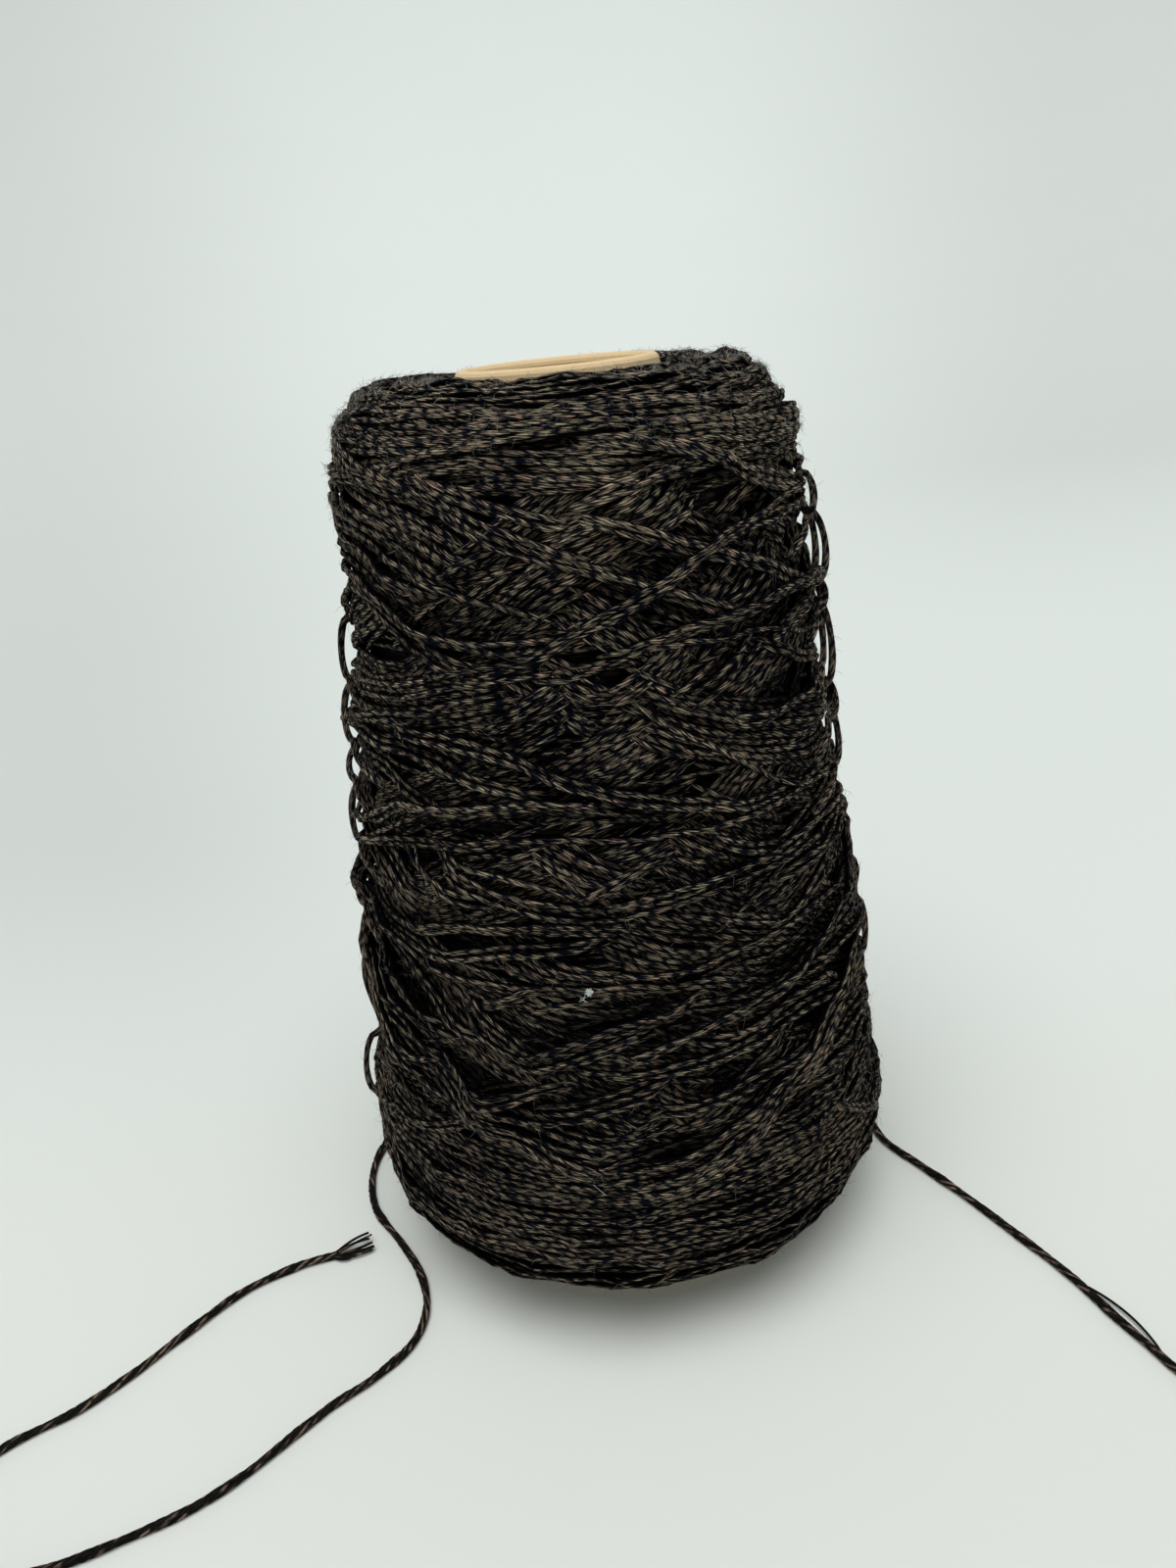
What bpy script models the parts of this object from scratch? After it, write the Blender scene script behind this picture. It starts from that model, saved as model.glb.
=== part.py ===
"""A cone of marled yarn: a pasteboard cone, the yarn wound on it, and two loose ends on the table.

The axis is +Z through the origin, and the cone's base ring stands on z = 0.
Angles run from the front (-Y) towards +X, in degrees. Table columns are in millimetres.
"""

import math

import bmesh
import bpy
import numpy as np

MM = 0.001

# The pasteboard cone, of the common size with a 5 degree 57 minute half angle.
CONE_HEIGHT = 170.0
CONE_BASE_RADIUS = 35.2
CONE_NOSE_RADIUS = 17.5
CONE_WALL = 2.0
LIP_RADIUS = 1.25
LIP_STEPS = 8
BASE_CHAMFER = 0.35
CONE_SIDES = 64

# The wound body.
WOUND_GAP = 0.3
WOUND_SIDES = 88
WOUND_ROWS = 44
BORE_ROWS = 4
BORE_FOOT = 4.0
BORE_TOP = 169.0
GROUND_SINK = 1.1
SHOULDER_FULLNESS = 1.0
BULGE = 0.35

# The outer profile, from the underside of the foot, over the barrel, to the top at the cone.
PROFILE_COLUMNS = ("radius", "height")
PROFILE = [
    (36.6, 4.1),
    (40.6, 6.4),
    (45.5, 10.2),
    (50.0, 14.9),
    (52.4, 20.5),
    (52.5, 28.0),
    (50.9, 40.0),
    (49.3, 55.0),
    (47.2, 75.0),
    (45.2, 95.0),
    (43.4, 115.0),
    (41.8, 135.0),
    (40.3, 148.0),
    (39.3, 156.0),
    (37.6, 162.0),
    (33.9, 166.5),
    (27.0, 168.7),
    (20.5, 169.0),
]

# The crossing bundles of turns that stand out on the front. Each route is angle and height.
BUNDLE_COLUMNS = ("width", "rise", "route")
FRONT_BUNDLES = [
    (7.0, 2.3, [(-80, 114.5), (-62, 118), (-30, 127), (0, 133), (20, 140.5), (40, 145), (85, 141)]),
    (6.0, 2.0, [(-80, 157), (-40, 155), (-20, 150.5), (0, 143), (14, 139), (40, 130), (75, 124)]),
    (6.0, 2.1, [(-85, 139), (-60, 140), (-45, 135.5), (-28, 129), (0, 126), (20, 114.5), (50, 100)]),
    (5.0, 1.7, [(-33, 158), (0, 150), (24, 142.5), (48, 134.5), (70, 126.5)]),
    (5.0, 1.7, [(-50, 138), (-30, 142), (-10, 149.5), (20, 154), (50, 158.5)]),
    (6.0, 1.9, [(-75, 104), (-40, 104), (-20, 107), (0, 111), (20, 117.5), (35, 123.5), (60, 132)]),
    (6.0, 2.0, [(-70, 113), (-40, 113), (-10, 108), (20, 103.5), (50, 93.5), (70, 87.5)]),
    (7.0, 2.1, [(-75, 87.5), (-50, 95.5), (-30, 99), (-10, 104), (15, 99), (40, 91), (70, 87.5)]),
    (6.0, 2.1, [(-70, 79), (-40, 78), (-20, 82), (5, 87.5), (40, 87.5), (75, 81.5)]),
    (6.0, 2.2, [(-75, 76), (-45, 74.5), (-25, 72), (0, 74), (30, 70.5), (50, 66), (80, 60)]),
    (7.0, 2.0, [(-75, 46.5), (-45, 55.5), (-20, 60.5), (0, 67.5), (20, 71), (45, 78), (70, 85.5)]),
    (7.0, 2.1, [(-70, 69), (-40, 66), (-15, 57.5), (10, 51.5), (35, 54), (60, 56.5), (80, 53.5)]),
    (7.0, 2.0, [(-60, 32), (-30, 34), (0, 37), (20, 42), (40, 50.5), (58, 56.5), (80, 65)]),
]

# The back is wound the same way: evenly spaced bundles of both hands.
BACK_BUNDLES_EACH_HAND = 7
BACK_START_DEG = 85.0
BACK_END_DEG = 275.0
BACK_WIDTH = 6.5
BACK_RISE = 2.0
BACK_LOW = 38.0
BACK_HIGH = 150.0
BACK_CLIMB = 55.0
BACK_WAVE = 4.0
BUNDLE_STEPS_PER_LEG = 6

# The loose ends, drawn as the middle line of the yarn: x, y and the height of the yarn's underside.
YARN_DIAMETER = 1.6
YARN_LIFT = 0.02
CORD_STEP = 4.6
CORD_COLUMNS = ("x", "y", "clearance")
LEFT_ROUTE = [
    (-34.9, 41.5, 23.0),
    (-44.0, 33.3, 14.5),
    (-52.8, 23.0, 4.5),
    (-58.1, 13.5, 0.0),
    (-59.7, 3.0, 0.0),
    (-57.2, -8.3, 0.0),
    (-50.6, -19.0, 0.0),
    (-45.8, -28.0, 0.0),
    (-43.9, -37.0, 0.0),
    (-45.9, -45.2, 0.0),
    (-52.1, -52.1, 0.0),
    (-58.7, -56.8, 0.0),
    (-64.9, -62.5, 0.0),
    (-71.9, -69.0, 0.0),
    (-79.3, -74.1, 0.0),
    (-89.1, -78.5, 0.0),
    (-100.5, -82.2, 0.0),
    (-114.8, -84.0, 0.0),
    (-122.9, -77.0, 0.0),
    (-123.5, -66.2, 0.0),
    (-117.0, -58.6, 0.0),
    (-106.5, -52.4, 0.0),
    (-98.9, -45.7, 0.0),
    (-90.0, -35.9, 0.0),
    (-81.8, -27.8, 0.0),
    (-72.7, -22.7, 0.0),
    (-64.8, -20.6, 0.0),
    (-56.2, -19.1, 0.0),
]
RIGHT_ROUTE = [
    (38.9, 37.8, 21.0),
    (45.8, 30.8, 13.5),
    (51.4, 21.5, 4.5),
    (53.6, 10.5, 0.0),
    (55.3, -2.2, 0.0),
    (60.8, -11.6, 0.0),
    (67.2, -22.5, 0.0),
    (73.4, -33.9, 0.0),
    (78.8, -44.8, 0.0),
    (83.1, -55.6, 0.0),
    (85.7, -62.0, 0.0),
    (88.7, -68.7, 0.0),
    (94.0, -76.3, 0.0),
    (102.0, -82.3, 0.0),
    (111.0, -85.3, 0.0),
]

# Finishes: linear colour, roughness, metallic.
PASTEBOARD = ((0.651, 0.539, 0.356), 0.85, 0.0)
YARN = ((0.022, 0.020, 0.018), 0.95, 0.0)


def clear_scene():
    """Remove the objects that the file opened with."""
    for thing in list(bpy.data.objects):
        bpy.data.objects.remove(thing, do_unlink=True)


def make_material(name, finish):
    """A plain Principled finish."""
    colour, roughness, metallic = finish
    material = bpy.data.materials.new(name)
    material.use_nodes = True
    shader = material.node_tree.nodes["Principled BSDF"]
    shader.inputs["Base Color"].default_value = (*colour, 1.0)
    shader.inputs["Roughness"].default_value = roughness
    shader.inputs["Metallic"].default_value = metallic
    return material


def smooth_curve(points, step=None, count=None):
    """Points at an even spacing along a Catmull-Rom curve through the given points."""
    given = np.array(points, dtype=float)
    first = 2.0 * given[0] - given[1]
    last = 2.0 * given[-1] - given[-2]
    padded = np.vstack([first, given, last])
    fine = []
    for i in range(len(given) - 1):
        p0, p1, p2, p3 = padded[i : i + 4]
        for t in np.linspace(0.0, 1.0, 24, endpoint=False):
            slope = (p2 - p0) * t + (2.0 * p0 - 5.0 * p1 + 4.0 * p2 - p3) * t**2
            bend = (3.0 * p1 - p0 - 3.0 * p2 + p3) * t**3
            fine.append(p1 + 0.5 * (slope + bend))
    fine.append(given[-1])
    fine = np.array(fine)
    along = np.concatenate([[0.0], np.cumsum(np.linalg.norm(np.diff(fine, axis=0), axis=1))])
    if count is None:
        count = int(round(along[-1] / step)) + 1
    wanted = np.linspace(0.0, along[-1], count)
    return np.column_stack([np.interp(wanted, along, fine[:, k]) for k in range(fine.shape[1])])


def mesh_object(name, mesh_data, material, sharp_deg):
    """Turn a bmesh into a smooth shaded object."""
    bmesh.ops.recalc_face_normals(mesh_data, faces=mesh_data.faces)
    mesh = bpy.data.meshes.new(name)
    mesh_data.to_mesh(mesh)
    mesh_data.free()
    mesh.shade_smooth()
    mesh.set_sharp_from_angle(angle=math.radians(sharp_deg))
    mesh.materials.append(material)
    thing = bpy.data.objects.new(name, mesh)
    bpy.context.scene.collection.objects.link(thing)
    return thing


def cone_outer_radius(height):
    """The pasteboard cone's outer radius at a height."""
    return CONE_BASE_RADIUS + (CONE_NOSE_RADIUS - CONE_BASE_RADIUS) * height / CONE_HEIGHT


def cone_profile():
    """The pasteboard's closed section: up the outside, over the rolled lip, down the inside."""
    lip_height = CONE_HEIGHT - LIP_RADIUS
    lip_centre = CONE_NOSE_RADIUS - LIP_RADIUS
    section = [(CONE_BASE_RADIUS - BASE_CHAMFER, 0.0)]
    for share in np.linspace(0.0, 1.0, 6):
        height = BASE_CHAMFER + share * (lip_height - LIP_RADIUS - BASE_CHAMFER)
        section.append((cone_outer_radius(height), height))
    for angle in np.linspace(math.radians(-8.0), math.radians(205.0), LIP_STEPS + 1):
        radius = lip_centre + LIP_RADIUS * math.cos(angle)
        section.append((radius, lip_height + LIP_RADIUS * math.sin(angle)))
    for share in np.linspace(0.0, 1.0, 4):
        height = (lip_height - 3.0 * LIP_RADIUS) * (1.0 - share)
        section.append((cone_outer_radius(height) - CONE_WALL, height))
    return section


def build_paper_cone():
    """The pasteboard cone, turned about its axis, with a flat base ring and a rolled nose lip."""
    shell = bmesh.new()
    corners = [shell.verts.new((r * MM, 0.0, z * MM)) for r, z in cone_profile()]
    edges = [shell.edges.new((a, b)) for a, b in zip(corners, corners[1:] + corners[:1])]
    bmesh.ops.spin(
        shell,
        geom=corners + edges,
        cent=(0.0, 0.0, 0.0),
        axis=(0.0, 0.0, 1.0),
        angle=2.0 * math.pi,
        steps=CONE_SIDES,
        use_merge=True,
    )
    return mesh_object("paper_cone", shell, make_material("pasteboard", PASTEBOARD), 40.0)


def back_bundles():
    """Bundles of both hands over the back, a little uneven so that the crossings differ."""
    rows = []
    span = BACK_HIGH - BACK_LOW
    for hand in (1.0, -1.0):
        for i in range(BACK_BUNDLES_EACH_HAND):
            middle = BACK_LOW + span * (i + 0.5 + 0.15 * hand) / BACK_BUNDLES_EACH_HAND
            route = []
            for share in np.linspace(0.0, 1.0, 5):
                angle = BACK_START_DEG + share * (BACK_END_DEG - BACK_START_DEG)
                wave = BACK_WAVE * math.sin(2.3 * i + 5.0 * share)
                height = middle + hand * BACK_CLIMB * (share - 0.5) + wave
                route.append((angle, min(max(height, BACK_LOW), BACK_HIGH)))
            rows.append((BACK_WIDTH, BACK_RISE, route))
    return rows


def bundle_rise(angle, height, radius, bundles):
    """How far the highest bundle stands above the ground winding at each surface point."""
    rise = np.zeros_like(angle)
    for width, top, route in bundles:
        line = smooth_curve(route, count=BUNDLE_STEPS_PER_LEG * len(route))
        turn = (angle[..., None] - line[:, 0] + 180.0) % 360.0 - 180.0
        across = np.radians(turn) * radius[..., None]
        gap = np.sqrt(across**2 + (height[..., None] - line[:, 1]) ** 2).min(axis=-1)
        rise = np.maximum(rise, top * np.exp(-((gap / (0.5 * width)) ** 2)))
    return rise


def wound_rings():
    """The outer skin's points, as rows of rings from the foot to the top."""
    line = smooth_curve(PROFILE, count=WOUND_ROWS)
    run = np.gradient(line, axis=0)
    run /= np.linalg.norm(run, axis=1)[:, None]
    normal = np.column_stack([run[:, 1], -run[:, 0]])
    angle = np.arange(WOUND_SIDES) * 360.0 / WOUND_SIDES
    angle, height = np.meshgrid(angle, line[:, 1])
    radius = np.repeat(line[:, :1], WOUND_SIDES, axis=1)
    rise = bundle_rise(angle, height, radius, FRONT_BUNDLES + back_bundles())
    barrel = np.clip((height - 26.0) / 16.0, 0.0, 1.0)
    shoulder = np.clip((height - 140.0) / 20.0, 0.0, 1.0) * np.clip((radius - 24.0) / 8.0, 0.0, 1.0)
    turn = np.radians(angle)
    fullness = -SHOULDER_FULLNESS * shoulder * np.sin(turn)
    bulges = np.sin(3.0 * turn + height / 17.0) + np.sin(2.0 * turn - height / 29.0 + 1.0)
    offset = barrel * (rise - GROUND_SINK + BULGE * bulges) + fullness
    inner_rows = np.clip((height - 160.0) / 6.0, 0.0, 1.0)
    offset = offset * (1.0 - inner_rows) + fullness * inner_rows
    out = radius + offset * normal[:, :1]
    up = height + offset * normal[:, 1:]
    return np.stack([out * np.sin(turn), -out * np.cos(turn), up], axis=-1)


def bore_rings():
    """The bore's points, from the top down, one gap off the pasteboard."""
    turn = np.radians(np.arange(WOUND_SIDES) * 360.0 / WOUND_SIDES)
    rings = []
    for height in np.linspace(BORE_TOP, BORE_FOOT, BORE_ROWS):
        radius = cone_outer_radius(height) + WOUND_GAP
        level = np.full_like(turn, height)
        rings.append(np.stack([radius * np.sin(turn), -radius * np.cos(turn), level], axis=-1))
    return np.array(rings)


def build_wound_yarn():
    """The wound body: the outer skin and the bore, bridged into one closed solid."""
    rings = np.concatenate([wound_rings(), bore_rings()])
    body = bmesh.new()
    rows = [[body.verts.new(point * MM) for point in ring] for ring in rings]
    for low, high in zip(rows, rows[1:] + rows[:1]):
        for i in range(WOUND_SIDES):
            j = (i + 1) % WOUND_SIDES
            body.faces.new((low[i], low[j], high[j], high[i]))
    return mesh_object("wound_yarn", body, make_material("marled_yarn", YARN), 60.0)


def build_loose_end(name, route, material):
    """One loose end: a round yarn along a smooth curve through its route."""
    radius = 0.5 * YARN_DIAMETER
    line = smooth_curve([(x, y, z + radius + YARN_LIFT) for x, y, z in route], step=CORD_STEP)
    line[:, 2] = np.maximum(line[:, 2], radius + YARN_LIFT)
    curve = bpy.data.curves.new(name, "CURVE")
    curve.dimensions = "3D"
    curve.bevel_depth = radius * MM
    curve.bevel_resolution = 2
    curve.use_fill_caps = True
    spline = curve.splines.new("POLY")
    spline.points.add(len(line) - 1)
    for point, place in zip(spline.points, line):
        point.co = (*(place * MM), 1.0)
    curve.materials.append(material)
    thing = bpy.data.objects.new(name, curve)
    bpy.context.scene.collection.objects.link(thing)
    return thing


def main():
    """Build the cone, the wound body and the two loose ends."""
    clear_scene()
    build_paper_cone()
    build_wound_yarn()
    build_loose_end("loose_end_left", LEFT_ROUTE, make_material("left_end_yarn", YARN))
    build_loose_end("loose_end_right", RIGHT_ROUTE, make_material("right_end_yarn", YARN))


main()
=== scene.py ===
"""A cone of marled yarn, dressed for the picture: every turn of yarn, the loose ends, the pasteboard.

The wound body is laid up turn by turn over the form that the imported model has. Its surface is
read in three numbers: the angle from the front towards +X in degrees, the run up the side in
millimetres, which is the height at the waist, and the lift off the body's outer form.
"""

import math
from collections import namedtuple

import bmesh
import bpy
import numpy as np
from bpy.props import FloatProperty, FloatVectorProperty, IntProperty, PointerProperty
from mathutils import Matrix, Vector


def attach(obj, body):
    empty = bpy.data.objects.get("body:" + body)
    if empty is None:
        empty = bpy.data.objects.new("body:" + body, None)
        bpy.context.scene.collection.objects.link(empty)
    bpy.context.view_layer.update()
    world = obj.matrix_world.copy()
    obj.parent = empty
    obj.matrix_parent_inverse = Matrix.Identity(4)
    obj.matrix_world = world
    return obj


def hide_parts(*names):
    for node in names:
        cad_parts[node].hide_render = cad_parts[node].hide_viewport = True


bl_info = {
    "name": "Cone of yarn",
    "version": (1, 0, 0),
    "blender": (4, 5, 0),
    "location": "View3D > Sidebar > Yarn",
    "description": "Winds a cone of marled yarn and lays out its loose ends",
    "category": "Object",
}

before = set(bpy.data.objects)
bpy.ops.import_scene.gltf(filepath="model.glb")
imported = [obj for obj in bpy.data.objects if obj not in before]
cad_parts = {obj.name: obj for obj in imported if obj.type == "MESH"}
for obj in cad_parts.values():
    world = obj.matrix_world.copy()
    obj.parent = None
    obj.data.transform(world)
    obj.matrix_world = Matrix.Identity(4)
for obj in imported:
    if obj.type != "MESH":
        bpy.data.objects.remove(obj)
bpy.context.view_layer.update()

MM = 0.001
BODY = "root"
SEED = 20250611

# The wound body's outer form, as the solids have it, from the underside of the foot to the nose:
# radius and height.
FORM = [
    (36.6, 4.1), (40.6, 6.4), (45.5, 10.2), (50, 14.9), (52.4, 20.5), (52.5, 28), (50.9, 40), (49.3, 55),
    (47.2, 75), (45.2, 95), (43.4, 115), (41.8, 135), (40.3, 148), (39.3, 156), (37.6, 162),
    (33.9, 166.5), (27, 168.7), (20.5, 169), (18.2, 169),
]
WAIST_HEIGHT = 75.0
LEFT_FULLNESS = 2.0
RIGHT_FULLNESS = 0.7
BULGE = 0.35
# Where a part of the form comes in or goes out: where that starts, and over what width.
FOOT_TO_BARREL = (26.0, 16.0)
BARREL_TO_NOSE = (166.0, -6.0)
SHOULDER_UP = (140.0, 20.0)
SHOULDER_OUT = (24.0, 8.0)
CONE_BASE_RADIUS = 35.2
CONE_NOSE_RADIUS = 17.5
CONE_HEIGHT = 170.0

# The turns are laid up in millimetres and degrees. A pair is where something starts, and the width
# over which it comes in.
# The map of how high the pile stands: its cells, its runs, and its level before the first turn.
CELL_RUN = 0.4
CELLS_ROUND = 720
RUN_LOW = -4.0
RUN_HIGH = 186.0
CORE_LIFT = -3.3

# One strand: the step between its points, its fewest points, the tightest bends it takes over what
# lies below when it is slack, taut or at the sides, and how its ends dive under.
STEP = 0.5
SHORTEST = 12
SLACK_RADIUS = 16.0
TAUT_RADIUS = 30.0
SIDE_RADIUS = 13.0
SIDE_ANGLE = 88.0
SIDE_EDGE = (16.0, 12.0)
DIVE_REACH = 8.0
END_DIVE = 2.2
CONE_CLEARANCE = 0.5

# Where across a strand the map is read and raised, and the shape of its back there.
ACROSS = (-0.42, -0.21, 0.0, 0.21, 0.42)
CROWN_REACH = 0.56
CROWN_PRESS = 0.08

# How far the pile is sunk to the body's form, in the middle and under the turns at its two ends.
KEPT_LEVEL = 0.9
PEAK_LIFT = 0.9
EDGE_LIFT = -1.2
FOOT_LEVEL = (46.0, -9.0)
SHOULDER_LEVEL = (151.0, 7.0)
LEVEL_SPREAD = (8, 9, (14, 14))
NEAR_SPREAD = (4, 5, (4,))

# How turns that lie deep or high are pressed, and how the back is kept below the rim.
PRESSED_BELOW = -1.6
PRESSED_SHARE = 0.4
HIGH_ABOVE = 1.9
HIGH_SHARE = 0.3
RIM_LIFT = -0.2
RIM_RUN = (166.0, 5.0)
BACK_ANGLE = (85.0, 30.0)

# The buried core that the gaps open on.
CORE_DEPTH = 4.6
END_CORE_DEPTH = 3.0
CORE_RUNS = (24.0, 46.0, 150.0, 162.0)

# Where a bundle goes on round the side, and where it lies over the turns of the two ends.
FRONT_EDGE = 60.0
FOOT_RUN = 42.0
SHOULDER_RUN = 154.0

# How the kinds of turns differ.
TUBE_SIDES = 8
LOOP_SIZE = 1.25
END_TURN_SIZE = 0.88
STRAIGHTEN = 9.0
# Painted light: the front bundles' tone is raised, so that they are lighter than the turns below them.
FRONT_PAINTED_LIGHT = 0.25
# Painted light: strands at the sides are read as lying less deep, so that the painted depth shade leaves them
# lighter.
SIDE_LIT = 1.1
CROSSING_RIBBONS = 56
FIELDS = 112
SIDE_RIBBONS = 92
EDGE_RIBBONS = 88

# Steps that fill a round or a height evenly, whatever the count, and a route's places.
GOLDEN_ANGLE = 137.508
GOLDEN = 0.618034
PLASTIC = 0.754878
PLASTIC_SQUARED = 0.569840
QUARTERS = np.linspace(0.0, 1.0, 5)

# The plies seen round a turn, and how often the brown comes round to the outside, in millimetres.
PLIES_ROUND = 9.5
FLECK_LENGTH = 3.0

# Groups with longer or shorter steps between rings than the rest, and their sides.
FINENESS = {
    "ground_turns": (2.0, 4),
    "crossing_turns": (1.4, 6),
    "field_turns": (1.2, 7),
    "side_and_back_turns": (1.2, 7),
    "foot_turns": (1.2, 7),
    "standing_loops": (0.4, 8),
}

# Bundles of turns on the front, read off the wound body in the order in which they were laid:
# strands, spacing in widths of a turn, and a route of angle and run.
FRONT_FIELDS = [
    (14, 0.95, [(-62, 148.5), (-50, 147), (-40, 144.5), (-30, 141.5), (-20, 138)]),
    (10, 0.95, [(-62, 119.5), (-45, 121.5), (-30, 123.8), (-20, 125.4), (-8, 127)]),
    (7, 0.95, [(-22, 134), (-14, 137.6), (-6, 141.4), (4, 146)]),
    (9, 0.95, [(2, 144.5), (12, 148.4), (22, 153), (32, 157)]),
    (10, 0.95, [(22, 128), (32, 133), (42, 138.6), (52, 144)]),
    (9, 0.95, [(-50, 127), (-40, 131), (-30, 135.5), (-22, 139)]),
    (7, 0.95, [(2, 119), (12, 123), (22, 127.5), (30, 131)]),
    (9, 0.95, [(40, 117), (50, 121), (60, 125), (70, 129)]),
    (7, 0.95, [(40, 105), (50, 109), (60, 113), (70, 116)]),
    (10, 0.95, [(4, 123), (10, 121.3), (20, 117.2), (30, 114), (40, 111.3), (59, 108), (72, 106.5)]),
    (9, 0.95, [(14, 104.5), (20, 101.5), (28, 97.5), (36, 94), (46, 90)]),
    (7, 0.95, [(-30, 113), (-20, 117), (-10, 121), (0, 126)]),
    (7, 0.95, [(-50, 87), (-40, 91), (-30, 95), (-20, 99)]),
    (7, 0.95, [(-20, 100), (-10, 96.5), (0, 92.5), (10, 89)]),
    (12, 0.95, [(-76, 93.5), (-70, 91.5), (-60, 88.5), (-50, 85), (-42, 82)]),
    (15, 0.95, [(-76, 66.5), (-66, 62.5), (-56, 59.5), (-46, 57), (-36, 55)]),
    (10, 0.95, [(28, 80), (40, 83), (52, 86), (66, 89)]),
    (9, 0.95, [(-44, 51), (-30, 48), (-20, 45), (-8, 42), (4, 40.5)]),
    (9, 0.95, [(30, 44), (45, 45.5), (60, 45), (74, 43.5)]),
]
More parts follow.
